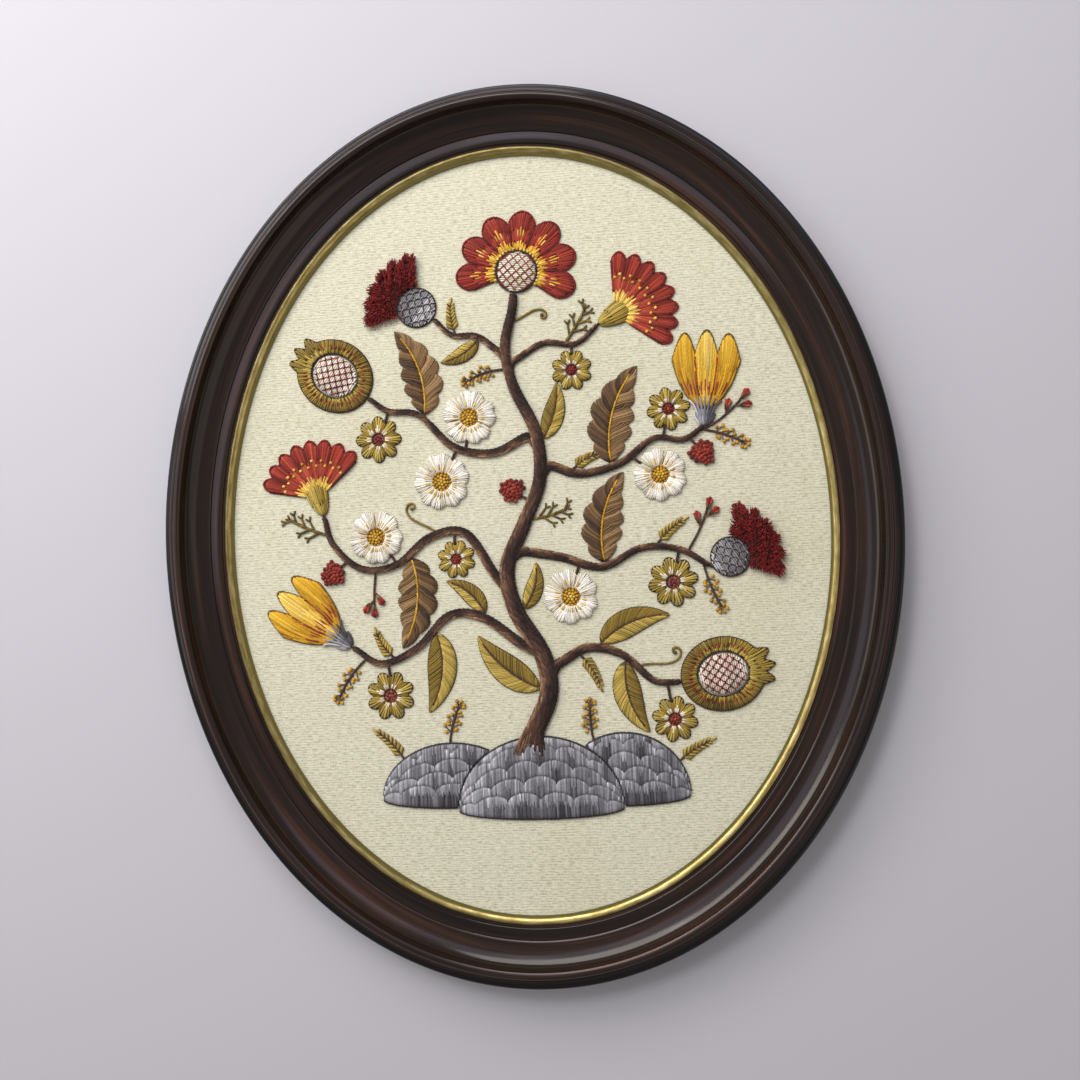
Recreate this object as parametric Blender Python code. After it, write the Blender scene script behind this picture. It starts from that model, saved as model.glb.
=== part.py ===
# Crewel embroidery panel in an oval moulded frame, lying on its back with the stitched face up.
# Metres, +Z up, +Y towards the top of the picture. The frame's back lies on z = 0.
import math
from collections import namedtuple

import bmesh
import bpy

MM = 0.001

# The oval seen inside the frame, edge to edge
SIGHT_WIDTH = 394 * MM
SIGHT_HEIGHT = 499 * MM
OVAL_STEPS = 64

# Heights above the back of the frame
CLOTH_TOP = 8.8 * MM
CLOTH_THICK = 2.0 * MM
GAP = 0.3 * MM
STITCH_BASE = CLOTH_TOP + GAP

# Distances outward from the sight edge
SLIP_WIDTH = 5.0 * MM
RABBET = 7.0 * MM
MOULDING = 43.8 * MM
FOOT_CHAMFER = 1.2 * MM

# The moulding's section from the lip outward, in mm outward and up: flat stretches as spots,
# round ones as arcs of an ellipse, with angles in degrees
Spot = namedtuple("Spot", "out up")
Arc = namedtuple("Arc", "out up half_width half_height start end steps")
LIP_TOP = 12.4
FRONT_BAND = (Spot(6.8, LIP_TOP), Spot(7.4, 13.0), Spot(15.0, 13.4))
COVE = Arc(15.4, 29.4, 14.6, 14.8, -90, 0, 5)
BEAD = Arc(32.4, 28.2, 2.3, 1.8, 145, 0, 4)
SMALL_STEPS = (Spot(35.3, 27.0), Spot(36.6, 26.7), Spot(37.4, 25.8), Spot(38.4, 23.2), Spot(40.1, 21.8))
OUTER_ROUND = Arc(41.7, 18.4, 2.1, 3.1, 90, 0, 3)
SLIP_SHOULDER = Spot(0.3, 11.0)
SLIP_ROUND = Arc(3.3, 11.2, 2.8, 3.0, 170, 60, 4)
SLIP_CREST = 13.3

# Heights of the stitched forms above the cloth's clearance
FLAT_WORK = 1.4 * MM
RAISED_WORK = 2.2 * MM
PILE_HEIGHT = 6.5 * MM
# Stems: height as a share of width, and the spacing of their sections in chart units
STEM_FLATTEN = 0.3
STEM_SPACING = 8.5
ROUNDED_EDGE = 0.5 * MM

# One unit of the embroidery chart, and how far the chart's centre lies above the oval's
CHART = 0.93 * MM
CHART_LIFT = 8 * MM
# Slack between a bough and the trunk, and between a motif and its stem, in chart units
BOUGH_SLACK = 0.8
STEM_SLACK = 1.6
SIDE_SLACK = 0.9
HEART_SLACK = 0.5

# Trunk and boughs: points of the route in chart units, width at the root and at the tip.
# A bough starts beside the trunk, at a share of the trunk's length, to its left (1) or right (-1).
Stem = namedtuple("Stem", "name along side route root tip")
TRUNK = Stem("trunk", 0, 0,
             ((2, -148), (13, -122), (9, -94), (-8, -64), (-13, -34), (0, -4), (13, 28),
              (11, 62), (-3, 94), (-8, 122), (-2, 148), (0, 160)), 13.0, 5.0)
BOUGHS = (
    Stem("bough_low_left", 0.215, 1,
         ((-32, -68), (-56, -66), (-80, -88), (-106, -98), (-126, -86)), 6.4, 3.2),
    Stem("bough_low_right", 0.15, -1, ((42, -92), (66, -98), (86, -116), (104, -118)), 6.4, 3.2),
    Stem("bough_mid_left", 0.35, 1,
         ((-42, -8), (-68, -10), (-92, -28), (-118, -30), (-138, -12), (-144, 8)), 6.0, 3.0),
    Stem("bough_mid_right", 0.41, -1, ((26, -28), (54, -36), (82, -24), (108, -26), (128, -38)), 6.0, 3.0),
    Stem("bough_top_left", 0.63, 1, ((-20, 48), (-48, 54), (-72, 78), (-94, 82), (-108, 92)), 5.8, 2.8),
    Stem("bough_top_right", 0.57, -1, ((42, 30), (70, 36), (94, 52), (114, 50), (128, 58)), 5.8, 2.8),
    Stem("twig_left", 0.815, 1, ((-28, 132), (-46, 134), (-58, 146)), 4.0, 2.6),
    Stem("twig_right", 0.785, -1, ((20, 124), (42, 122), (58, 134)), 4.0, 2.6),
)

# Ground mounds: centre, half width and height in chart units. The front one cuts into the others.
Mound = namedtuple("Mound", "name x y half_width height")
FRONT_MOUND = Mound("mound_front", 4, -203, 58, 50)
BACK_MOUNDS = (
    Mound("mound_left", -58, -194, 50, 38),
    Mound("mound_right", 63, -195, 45, 43),
)
MOUND_SAG = 7.0
MOUND_GAP = 0.6

# Motifs: the stem that each grows from, how far along it, on which side (0 is at its tip),
# the turn from the stem's direction in degrees, size, bend in radians, and reach off the stem.
Motif = namedtuple("Motif", "kind stem along side turn size bend reach")
MOTIFS = (
    Motif("palmette", "trunk", 1, 0, 0, 1.4, 0, 0),
    Motif("thistle", "twig_left", 1, 0, 10, 1.3, 0, 0),
    Motif("thistle", "bough_mid_right", 1, 0, 62, 1.25, 0, 2),
    Motif("carnation", "twig_right", 1, 0, -10, 1.3, 0, 0),
    Motif("carnation", "bough_mid_left", 1, 0, 0, 1.25, 0, 0),
    Motif("fruit", "bough_top_left", 1, 0, 0, 1.2, 0, 0),
    Motif("fruit", "bough_low_right", 1, 0, 15, 1.2, 0, 0),
    Motif("tulip", "bough_top_right", 1, 0, 55, 1.3, 0, 0),
    Motif("tulip", "bough_low_left", 1, 0, -5, 1.3, 0, 0),
    Motif("rose", "bough_top_left", 0.34, -1, 80, 1.25, 0, 3),
    Motif("rose", "bough_top_left", 0.38, 1, 88, 1.3, 0, 4),
    Motif("rose", "bough_mid_right", 0.29, -1, 85, 1.25, 0, 3),
    Motif("rose", "bough_mid_left", 0.50, -1, 75, 1.25, 0, 4),
    Motif("rose", "bough_top_right", 0.46, -1, 70, 1.2, 0, 4),
    Motif("daisy", "bough_top_left", 0.80, 1, 88, 1.1, 0, 3),
    Motif("daisy", "bough_mid_left", 0.22, 1, 96, 0.9, 0, 4),
    Motif("daisy", "bough_low_right", 0.88, -1, 80, 1.05, 0, 8),
    Motif("daisy", "bough_top_right", 0.66, 1, 84, 1.0, 0, 3),
    Motif("daisy", "twig_right", 0.62, -1, 92, 0.95, 0, 2),
    Motif("daisy", "bough_low_left", 0.76, 1, 80, 1.15, 0, 4),
    Motif("daisy", "bough_mid_right", 0.80, -1, 85, 1.15, 0, 4),
    Motif("plume", "bough_top_left", 0.58, -1, 58, 1.1, -0.9, 0),
    Motif("plume", "bough_top_right", 0.36, 1, 80, 1.2, -0.9, 0),
    Motif("plume", "bough_mid_left", 0.44, 1, 66, 1.1, -0.9, 0),
    Motif("plume", "bough_mid_right", 0.42, 1, 88, 1.1, -0.9, 0),
    Motif("leaf", "bough_low_left", 0.20, -1, 43, 0.75, -0.9, 0),
    Motif("leaf", "bough_low_right", 0.34, 1, 56, 1.1, -0.9, 0),
    Motif("leaf", "bough_low_left", 0.50, 1, 60, 1.2, -0.9, 0),
    Motif("leaf", "bough_low_right", 0.54, -1, 60, 1.1, -0.9, 0),
    Motif("leaf", "trunk", 0.10, 1, 72, 1.2, -0.7, 0),
    Motif("leaf", "trunk", 0.62, -1, 43, 0.85, -0.6, 0),
    Motif("leaf", "trunk", 0.27, -1, 62, 0.7, -0.8, 0),
    Motif("leaf", "twig_left", 0.30, 1, 78, 0.65, -0.8, 0),
    Motif("berries", "bough_mid_left", 0.74, 1, 80, 1.3, 0, 4),
    Motif("berries", "bough_top_right", 0.86, -1, 80, 1.3, 0, 4),
    Motif("berries", "trunk", 0.50, 1, 80, 1.3, 0, 4),
)

# A motif's own sizes in chart units, at size 1
# A fan spreads over span degrees, from inner to 1 of its reach; dip and power shape its lobes.
Fan = namedtuple("Fan", "reach span lobes dip power inner")
PALMETTE_FAN = Fan(31, 236, 7, 0.24, 0.7, 0.40)
CARNATION_FAN = Fan(34, 128, 8, 0.13, 1.0, 0.26)
THISTLE_FAN = Fan(29, 104, 6, 0.10, 0.7, 0.43)
# A cup grows from a point; a small bulge fills it out low down.
Cup = namedtuple("Cup", "width height bulge lobes dip power")
CARNATION_CALYX = Cup(13, 18, 0.62, 1, 0.12, 1.0)
TULIP_PETALS = Cup(36, 42, 0.55, 3, 0.34, 0.9)
TULIP_CALYX = Cup(12, 9, 0.6, 1, 0.2, 1.0)
# A bloom is a ring of petals round its middle, each with a notch at its tip.
Bloom = namedtuple("Bloom", "reach petals dip power notch notch_width spans")
ROSE = Bloom(16, 5, 0.22, 0.5, 0.10, 0.10, 8)
DAISY = Bloom(15, 8, 0.36, 0.7, 0.0, 0.10, 6)
BLOOM_FOOT = 14.4
# A blade is a leaf on an arc, with lobes that cut into its edges by dip.
Blade = namedtuple("Blade", "length width lobes dip spans")
LEAF = Blade(48, 17, 0, 0, 11)
PLUME = Blade(60, 27, 5, 0.34, 20)
PALMETTE_HEART = 10.6
THISTLE_BULB = 11
CALYX_DROP = 10.2
FRUIT_WIDTH, FRUIT_HEIGHT = 42, 48
WINDOW_WIDTH, WINDOW_HEIGHT = 24.4, 28.4
CROWN_POINTS = (-0.34, 0, 0.34)
CROWN_HALF_ANGLE = 0.17
CROWN_RISE = 0.28
BERRY_REACH, BERRY_FOOT, BERRY_COUNT, BERRY_DIP = 7, 6, 3, 0.22
# Rings of a tuft of cut pile: share of the outline's size, share of the height
PILE_RINGS = ((1.0, 0.0), (1.03, 0.35), (0.84, 0.80), (0.45, 1.0))
PILE_CREST = 0.96
PILE_LUMP = 0.07

WALNUT = (0.028, 0.016, 0.012)
GILT = (0.44, 0.36, 0.14)
LINEN = (0.78, 0.74, 0.60)
GREY_YARN = (0.23, 0.23, 0.26)
BROWN_YARN = (0.07, 0.035, 0.022)
RUST_YARN = (0.30, 0.05, 0.03)
MAROON_YARN = (0.13, 0.012, 0.012)
MUSTARD_YARN = (0.42, 0.25, 0.035)
GOLD_YARN = (0.72, 0.46, 0.06)
CREAM_YARN = (0.82, 0.76, 0.60)
TAN_YARN = (0.22, 0.13, 0.06)


def clear_scene():
    for old in list(bpy.data.objects):
        bpy.data.objects.remove(old, do_unlink=True)


def new_collection(name):
    group = bpy.data.collections.new(name)
    bpy.context.scene.collection.children.link(group)
    return group


def finish(name, colour, roughness, metallic=0.0):
    material = bpy.data.materials.get(name)
    if material is None:
        material = bpy.data.materials.new(name)
        material.use_nodes = True
        shader = material.node_tree.nodes["Principled BSDF"]
        shader.inputs["Base Color"].default_value = (*colour, 1)
        shader.inputs["Roughness"].default_value = roughness
        shader.inputs["Metallic"].default_value = metallic
    return material


def yarn(name, colour):
    return finish(name, colour, 0.9)


def steps(count, last=False):
    """Shares from 0 up to 1, with the last one only if asked for."""
    return [i / count for i in range(count + 1 if last else count)]


def circle(half_width, half_height, count):
    return [(half_width * math.sin(2 * math.pi * f), half_height * math.cos(2 * math.pi * f))
            for f in steps(count)]


def oval(offset):
    """Points round the sight oval, moved outward along its normal."""
    a, b = SIGHT_WIDTH / 2, SIGHT_HEIGHT / 2
    points = []
    for f in steps(OVAL_STEPS):
        angle = 2 * math.pi * f
        nx, ny = math.cos(angle) / a, math.sin(angle) / b
        length = math.hypot(nx, ny)
        x, y = a * math.cos(angle), b * math.sin(angle)
        points.append((x + offset * nx / length, y + offset * ny / length))
    return points


def arc(x, y, radius_x, radius_y, start, end, count):
    """Points on an ellipse's arc, its ends among them, with angles in degrees."""
    points = []
    for f in steps(count, last=True):
        angle = math.radians(start + (end - start) * f)
        points.append((x + radius_x * math.cos(angle), y + radius_y * math.sin(angle)))
    return points


def add_spline(curve, points):
    spline = curve.splines.new("POLY")
    spline.points.add(len(points) - 1)
    for spot, (x, y) in zip(spline.points, points):
        spot.co = (x, y, 0, 1)
    spline.use_cyclic_u = True


def flat_curve(name, group, outlines):
    curve = bpy.data.curves.new(name, "CURVE")
    curve.dimensions = "2D"
    for points in outlines:
        add_spline(curve, points)
    item = bpy.data.objects.new(name, curve)
    group.objects.link(item)
    return item


def plate(name, group, outlines, z, thickness, material, edge=0.0):
    """A filled outline, with any holes, from z upward; edge rounds it without making it wider."""
    item = flat_curve(name, group, outlines)
    item.data.fill_mode = "BOTH"
    item.data.extrude = thickness / 2 - edge
    item.data.bevel_depth = edge
    item.data.bevel_resolution = 0
    item.data.offset = -edge
    item.location.z = z + thickness / 2
    item.data.materials.append(material)
    return item


def swept_ring(name, group, guides, profile, material):
    """A profile of (outward, up) points carried round the sight oval."""
    section = flat_curve(name + "_section", guides, [[(-out, up) for out, up in reversed(profile)]])
    section.hide_render = True
    section.display_type = "WIRE"
    ring = flat_curve(name, group, [oval(0)])
    ring.data.bevel_mode = "OBJECT"
    ring.data.bevel_object = section
    ring.data.materials.append(material)
    return ring


def in_metres(points):
    return [(out * MM, up * MM) for out, up in points]


def moulding_profile():
    """Rabbet, ledge, lip, flat band, cove, bead, small steps, outer round, wall and chamfered foot."""
    ledge, lip = STITCH_BASE, SLIP_WIDTH + GAP
    profile = [(RABBET, 0), (RABBET, ledge), (lip, ledge), (lip, LIP_TOP * MM)]
    profile += in_metres([*FRONT_BAND, *arc(*COVE), *arc(*BEAD), *SMALL_STEPS, *arc(*OUTER_ROUND)])
    profile += [(MOULDING, FOOT_CHAMFER), (MOULDING - FOOT_CHAMFER, 0)]
    return profile


def slip_profile():
    """A quarter-round lip on a square foot."""
    profile = [(0, STITCH_BASE)]
    profile += in_metres([SLIP_SHOULDER, *arc(*SLIP_ROUND), Spot(SLIP_WIDTH / MM, SLIP_CREST)])
    profile += [(SLIP_WIDTH, STITCH_BASE)]
    return profile


def build_frame(group, guides):
    walnut = finish("stained_walnut", WALNUT, 0.35)
    gilt = finish("worn_gilt", GILT, 0.4, 0.8)
    swept_ring("oval_frame", group, guides, moulding_profile(), walnut)
    swept_ring("gilt_slip", group, guides, slip_profile(), gilt)
    linen = finish("natural_linen", LINEN, 0.95)
    plate("linen_panel", group, [oval(RABBET - GAP)], CLOTH_TOP - CLOTH_THICK, CLOTH_THICK, linen)


def route_point(route, share):
    """A point on the smooth curve through the route's own points."""
    last = len(route) - 1
    k = min(int(share * last), last - 1)
    u = share * last - k
    before = route[k - 1] if k > 0 else mirrored(route[1], route[0])
    after = route[k + 2] if k + 2 <= last else mirrored(route[last - 1], route[last])
    point = []
    for p, a, b, q in zip(before, route[k], route[k + 1], after):
        point.append(0.5 * (2 * a + (b - p) * u + (2 * p - 5 * a + 4 * b - q) * u * u
                            + (3 * a - p - 3 * b + q) * u ** 3))
    return tuple(point)


def mirrored(point, about):
    return tuple(2 * m - p for p, m in zip(point, about))


def on_stem(stem, share):
    """Place, unit direction and half width of a stem at a share of its route."""
    nudge = 0.01
    x0, y0 = route_point(stem.route, max(0, share - nudge))
    x1, y1 = route_point(stem.route, min(1, share + nudge))
    length = math.hypot(x1 - x0, y1 - y0)
    half = (stem.root + (stem.tip - stem.root) * share) / 2
    return route_point(stem.route, share), ((x1 - x0) / length, (y1 - y0) / length), half


def rooted(bough):
    """The bough with its first point set beside the trunk."""
    (x, y), (dx, dy), half = on_stem(TRUNK, bough.along)
    off = (half + BOUGH_SLACK + 0.45 * bough.root) * bough.side
    return bough._replace(route=((x - dy * off, y + dx * off),) + bough.route)


def placed(motif, stems):
    """Foot of the motif in chart units, and its heading in radians from +Y, left positive."""
    (x, y), (dx, dy), half = on_stem(stems[motif.stem], motif.along)
    heading = math.atan2(-dx, dy)
    if motif.side == 0:
        clear = STEM_SLACK + motif.reach
        return x + dx * clear, y + dy * clear, heading + math.radians(motif.turn)
    heading += motif.side * math.radians(motif.turn)
    clear = (half + SIDE_SLACK) * motif.side
    return (x - dy * clear - math.sin(heading) * motif.reach,
            y + dx * clear + math.cos(heading) * motif.reach, heading)


def to_panel(points, foot):
    """Chart points of a motif that grows along +Y, set on the panel in metres."""
    x, y, heading = foot
    cos, sin = math.cos(heading), math.sin(heading)
    return [((x + px * cos - py * sin) * CHART, (y + px * sin + py * cos) * CHART + CHART_LIFT)
            for px, py in points]


def scallop(s, lobes, dip, power):
    """Share of full reach at s from -1 to 1, with a dip between each lobe and the next."""
    place = (s / 2 + 0.5) * lobes
    return 1 - dip * (1 - abs(math.sin(math.pi * place)) ** power)


def fan_outline(shape, size, across, along):
    def patch(s, t):
        angle = s * math.radians(shape.span) / 2
        r = t * shape.reach * size * scallop(s, shape.lobes, shape.dip * t, shape.power)
        return r * math.sin(angle), r * math.cos(angle)
    return patch_outline(patch, shape.inner, across, along)


def cup_outline(shape, size, across, along):
    def patch(s, t):
        half = shape.width * size / 2 * math.sin(math.pi / 2 * t ** shape.bulge)
        top = scallop(s, shape.lobes, shape.dip, shape.power) * (1 - 0.1 * s * s)
        return s * half, shape.height * size * t * (1 - (1 - top) * t * t)
    return patch_outline(patch, 0, across, along)


def patch_outline(patch, inner, across, along):
    """Round a patch: its far edge, one side, its near edge if it has one, and the other side."""
    points = [patch(2 * f - 1, 1) for f in steps(across, last=True)]
    points += [patch(1, 1 - (1 - inner) * f) for f in steps(along, last=True)[1:]]
    near = max(3, across // 4)
    if inner > 0:
        points += [patch(1 - 2 * f, inner) for f in steps(near)[1:]]
    points += [patch(-1, inner + (1 - inner) * f) for f in steps(along)[0 if inner > 0 else 1:]]
    return points


def blade_outline(shape, size, bend):
    """A leaf on an arc that turns by bend, its edges waved by its lobes."""
    length = shape.length * size
    right, left = [], []
    for f in steps(shape.spans, last=True):
        turn = bend * f
        x = -length / bend * (1 - math.cos(turn))
        y = length / bend * math.sin(turn)
        half = shape.width * size / 2 * abs(math.sin(math.pi * f ** 0.75)) ** 0.85
        if shape.lobes:
            half *= 1 - shape.dip * (1 - abs(math.sin(math.pi * f * shape.lobes)) ** 0.6)
        right.append((x + half * math.cos(turn), y + half * math.sin(turn)))
        left.append((x - half * math.cos(turn), y - half * math.sin(turn)))
    return right + left[-2:0:-1]


def lifted(points, rise):
    return [(x, y + rise) for x, y in points]


def draw_palmette(motif):
    foot = PALMETTE_HEART * motif.size
    petals = lifted(fan_outline(PALMETTE_FAN, motif.size, 42, 2), foot)
    heart = lifted(circle(foot, foot, 18), foot)
    return [("petals", [petals], FLAT_WORK, yarn("rust_yarn", RUST_YARN)),
            ("heart", [heart], RAISED_WORK, yarn("cream_yarn", CREAM_YARN))]


def draw_carnation(motif):
    petals = lifted(fan_outline(CARNATION_FAN, motif.size, 32, 2), CALYX_DROP * motif.size)
    calyx = cup_outline(CARNATION_CALYX, motif.size, 8, 5)
    return [("petals", [petals], FLAT_WORK, yarn("rust_yarn", RUST_YARN)),
            ("calyx", [calyx], FLAT_WORK, yarn("mustard_yarn", MUSTARD_YARN))]


def draw_tulip(motif):
    drop = (TULIP_CALYX.height + HEART_SLACK) * motif.size
    petals = lifted(cup_outline(TULIP_PETALS, motif.size, 18, 6), drop)
    calyx = cup_outline(TULIP_CALYX, motif.size, 6, 3)
    return [("petals", [petals], FLAT_WORK, yarn("gold_yarn", GOLD_YARN)),
            ("calyx", [calyx], FLAT_WORK, yarn("grey_yarn", GREY_YARN))]


def draw_thistle(motif):
    foot = THISTLE_BULB * motif.size
    tuft = lifted(fan_outline(THISTLE_FAN, motif.size, 24, 3), foot)
    bulb = lifted(circle(foot, foot, 18), foot)
    return [("tuft", [tuft], PILE_HEIGHT, yarn("maroon_yarn", MAROON_YARN)),
            ("bulb", [bulb], RAISED_WORK, yarn("grey_yarn", GREY_YARN))]


def fruit_rim(size):
    """An oval with a crown of points at its top."""
    points = []
    for f in steps(48):
        angle = math.pi * (2 * f - 1)
        crown = max(0, *(1 - abs(angle - point) / CROWN_HALF_ANGLE for point in CROWN_POINTS))
        reach = (1 + CROWN_RISE * crown) * size / 2
        points.append((FRUIT_WIDTH * reach * math.sin(angle), FRUIT_HEIGHT * reach * math.cos(angle)))
    return points


def draw_fruit(motif):
    foot = FRUIT_HEIGHT * motif.size / 2
    half_width, half_height = WINDOW_WIDTH * motif.size / 2, WINDOW_HEIGHT * motif.size / 2
    rim = lifted(fruit_rim(motif.size), foot)
    window = lifted(circle(half_width, half_height, 20), foot)
    heart = lifted(circle(half_width - HEART_SLACK, half_height - HEART_SLACK, 20), foot)
    return [("rind", [rim, window], FLAT_WORK, yarn("mustard_yarn", MUSTARD_YARN)),
            ("heart", [heart], FLAT_WORK, yarn("cream_yarn", CREAM_YARN))]


def bloom_rim(shape, size):
    points = []
    for f in steps(shape.spans * shape.petals):
        petal = (f * shape.petals) % 1
        notch = shape.notch * math.exp(-((petal - 0.5) / shape.notch_width) ** 2)
        dip = shape.dip * (1 - math.sin(math.pi * petal) ** shape.power)
        reach = shape.reach * size * (1 - dip - notch)
        angle = math.pi * (2 * f - 1)
        points.append((reach * math.sin(angle), reach * math.cos(angle)))
    return points


def draw_rose(motif):
    petals = lifted(bloom_rim(ROSE, motif.size), BLOOM_FOOT * motif.size)
    return [("petals", [petals], FLAT_WORK, yarn("cream_yarn", CREAM_YARN))]


def draw_daisy(motif):
    petals = lifted(bloom_rim(DAISY, motif.size), BLOOM_FOOT * motif.size)
    return [("petals", [petals], FLAT_WORK, yarn("mustard_yarn", MUSTARD_YARN))]


def draw_leaf(motif):
    blade = blade_outline(LEAF, motif.size, motif.bend * motif.side)
    return [("blade", [blade], FLAT_WORK, yarn("mustard_yarn", MUSTARD_YARN))]


def draw_plume(motif):
    blade = blade_outline(PLUME, motif.size, motif.bend * motif.side)
    return [("blade", [blade], FLAT_WORK, yarn("tan_yarn", TAN_YARN))]


def draw_berries(motif):
    rim = []
    for f in steps(6 * BERRY_COUNT):
        angle = 2 * math.pi * f
        reach = BERRY_REACH * motif.size * (1 + BERRY_DIP * math.cos(BERRY_COUNT * angle))
        rim.append((reach * math.sin(angle), reach * math.cos(angle) + BERRY_FOOT * motif.size))
    return [("cluster", [rim], RAISED_WORK, yarn("rust_yarn", RUST_YARN))]


DRAWINGS = {
    "palmette": draw_palmette, "carnation": draw_carnation, "tulip": draw_tulip,
    "thistle": draw_thistle, "fruit": draw_fruit, "rose": draw_rose, "daisy": draw_daisy,
    "leaf": draw_leaf, "plume": draw_plume, "berries": draw_berries,
}


def pile(name, group, outline, height, material):
    """Cut pile over an outline: rings drawn in towards the middle as they rise, lumpy on top."""
    count = len(outline)
    mid_x = sum(x for x, y in outline) / count
    mid_y = sum(y for x, y in outline) / count
    bm = bmesh.new()
    layers = []
    for row, (draw, rise) in enumerate(PILE_RINGS):
        layer = []
        for k, (x, y) in enumerate(outline):
            lump = 1 + PILE_LUMP * rise * math.sin(2.1 * k + 1.7 * row)
            spot = (mid_x + (x - mid_x) * draw, mid_y + (y - mid_y) * draw, rise * height * lump)
            layer.append(bm.verts.new(spot))
        layers.append(layer)
    for low, high in zip(layers, layers[1:]):
        for k in range(count):
            after = (k + 1) % count
            bm.faces.new((low[k], low[after], high[after], high[k]))
    crest = bm.verts.new((mid_x, mid_y, height * PILE_CREST))
    for k in range(count):
        bm.faces.new((layers[-1][k], layers[-1][(k + 1) % count], crest))
    bm.faces.new(list(reversed(layers[0])))
    bmesh.ops.recalc_face_normals(bm, faces=bm.faces)
    mesh = bpy.data.meshes.new(name)
    bm.to_mesh(mesh)
    bm.free()
    mesh.materials.append(material)
    tuft = bpy.data.objects.new(name, mesh)
    tuft.location.z = STITCH_BASE
    group.objects.link(tuft)


def stem_tube(stem, group, material):
    """A tapered round stem, flattened so that it lies on the cloth along its whole length."""
    length = sum(math.dist(a, b) for a, b in zip(stem.route, stem.route[1:]))
    count = round(length / STEM_SPACING)
    curve = bpy.data.curves.new(stem.name, "CURVE")
    curve.dimensions = "3D"
    curve.twist_mode = "Z_UP"
    curve.bevel_depth = 1.0
    curve.bevel_resolution = 2
    curve.use_fill_caps = True
    spline = curve.splines.new("POLY")
    spline.points.add(count)
    for spot, share in zip(spline.points, steps(count, last=True)):
        (x, y), _, half = on_stem(stem, share)
        (x, y), = to_panel([(x, y)], (0, 0, 0))
        spot.co = (x, y, half * CHART, 1)
        spot.radius = half * CHART
    curve.materials.append(material)
    tube = bpy.data.objects.new(stem.name, curve)
    tube.scale.z = STEM_FLATTEN
    tube.location.z = STITCH_BASE
    group.objects.link(tube)


def mound_outline(mound, grow=0.0):
    dome = arc(mound.x, mound.y, mound.half_width + grow, mound.height + grow, 0, 180, 22)
    sag = arc(mound.x, mound.y, mound.half_width + grow, MOUND_SAG + grow, 180, 360, 12)
    return to_panel(dome + sag[1:-1], (0, 0, 0))


def cut_away(target, outline, guides):
    """Take the outline's prism out of a plate, which becomes a mesh first."""
    cutter = plate(target.name + "_cutter", guides, [outline], 0, 2 * STITCH_BASE, None)
    bpy.context.view_layer.update()
    graph = bpy.context.evaluated_depsgraph_get()
    solids = []
    for source, group in ((target, target.users_collection[0]), (cutter, guides)):
        mesh = bpy.data.meshes.new_from_object(source.evaluated_get(graph))
        bm = bmesh.new()
        bm.from_mesh(mesh)
        bmesh.ops.remove_doubles(bm, verts=bm.verts, dist=0.00001)
        bm.to_mesh(mesh)
        bm.free()
        name, place = source.name, source.matrix_world.copy()
        bpy.data.objects.remove(source, do_unlink=True)
        solid = bpy.data.objects.new(name, mesh)
        solid.matrix_world = place
        group.objects.link(solid)
        solids.append(solid)
    body, tool = solids
    tool.hide_render = True
    tool.display_type = "WIRE"
    cut = body.modifiers.new("cut", "BOOLEAN")
    cut.operation = "DIFFERENCE"
    cut.object = tool
    cut.solver = "EXACT"


def build_mounds(group, guides):
    grey = yarn("grey_yarn", GREY_YARN)
    plate(FRONT_MOUND.name, group, [mound_outline(FRONT_MOUND)], STITCH_BASE, FLAT_WORK, grey)
    for mound in BACK_MOUNDS:
        hill = plate(mound.name, group, [mound_outline(mound)], STITCH_BASE, FLAT_WORK, grey)
        cut_away(hill, mound_outline(FRONT_MOUND, MOUND_GAP), guides)


def build_motif(motif, number, stems, group):
    foot = placed(motif, stems)
    for piece, outlines, height, material in DRAWINGS[motif.kind](motif):
        name = f"{motif.kind}_{number}_{piece}"
        outlines = [to_panel(points, foot) for points in outlines]
        if piece == "tuft":
            pile(name, group, outlines[0], height, material)
        else:
            edge = ROUNDED_EDGE if height == RAISED_WORK else 0.0
            plate(name, group, outlines, STITCH_BASE, height, material, edge)


def build_needlework(group, guides):
    stems = {TRUNK.name: TRUNK}
    for bough in BOUGHS:
        stems[bough.name] = rooted(bough)
    for stem in stems.values():
        stem_tube(stem, group, yarn("brown_yarn", BROWN_YARN))
    build_mounds(group, guides)
    numbers = {}
    for motif in MOTIFS:
        numbers[motif.kind] = numbers.get(motif.kind, 0) + 1
        build_motif(motif, numbers[motif.kind], stems, group)


def main():
    clear_scene()
    panel = new_collection("crewel_embroidery_panel")
    guides = new_collection("cutters_and_guides")
    build_frame(panel, guides)
    build_needlework(panel, guides)


main()
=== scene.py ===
import math
import random

import bpy
import numpy as np
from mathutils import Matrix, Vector


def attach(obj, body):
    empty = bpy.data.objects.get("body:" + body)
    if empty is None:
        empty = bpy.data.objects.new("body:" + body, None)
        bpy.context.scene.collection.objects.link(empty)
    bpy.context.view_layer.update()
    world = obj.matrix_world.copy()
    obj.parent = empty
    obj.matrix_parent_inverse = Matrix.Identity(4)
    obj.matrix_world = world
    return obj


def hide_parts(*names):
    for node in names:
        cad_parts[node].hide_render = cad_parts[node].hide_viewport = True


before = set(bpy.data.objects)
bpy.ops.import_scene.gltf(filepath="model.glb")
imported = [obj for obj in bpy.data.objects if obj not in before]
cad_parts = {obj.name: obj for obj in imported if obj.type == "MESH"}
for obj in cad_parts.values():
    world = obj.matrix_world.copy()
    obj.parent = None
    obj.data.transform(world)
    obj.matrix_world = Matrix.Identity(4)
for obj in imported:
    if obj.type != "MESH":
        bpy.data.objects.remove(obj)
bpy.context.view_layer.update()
print("frame loaded:", len(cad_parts), "solids")

mm = 0.001
rng = random.Random(11)


# Small helpers

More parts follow.
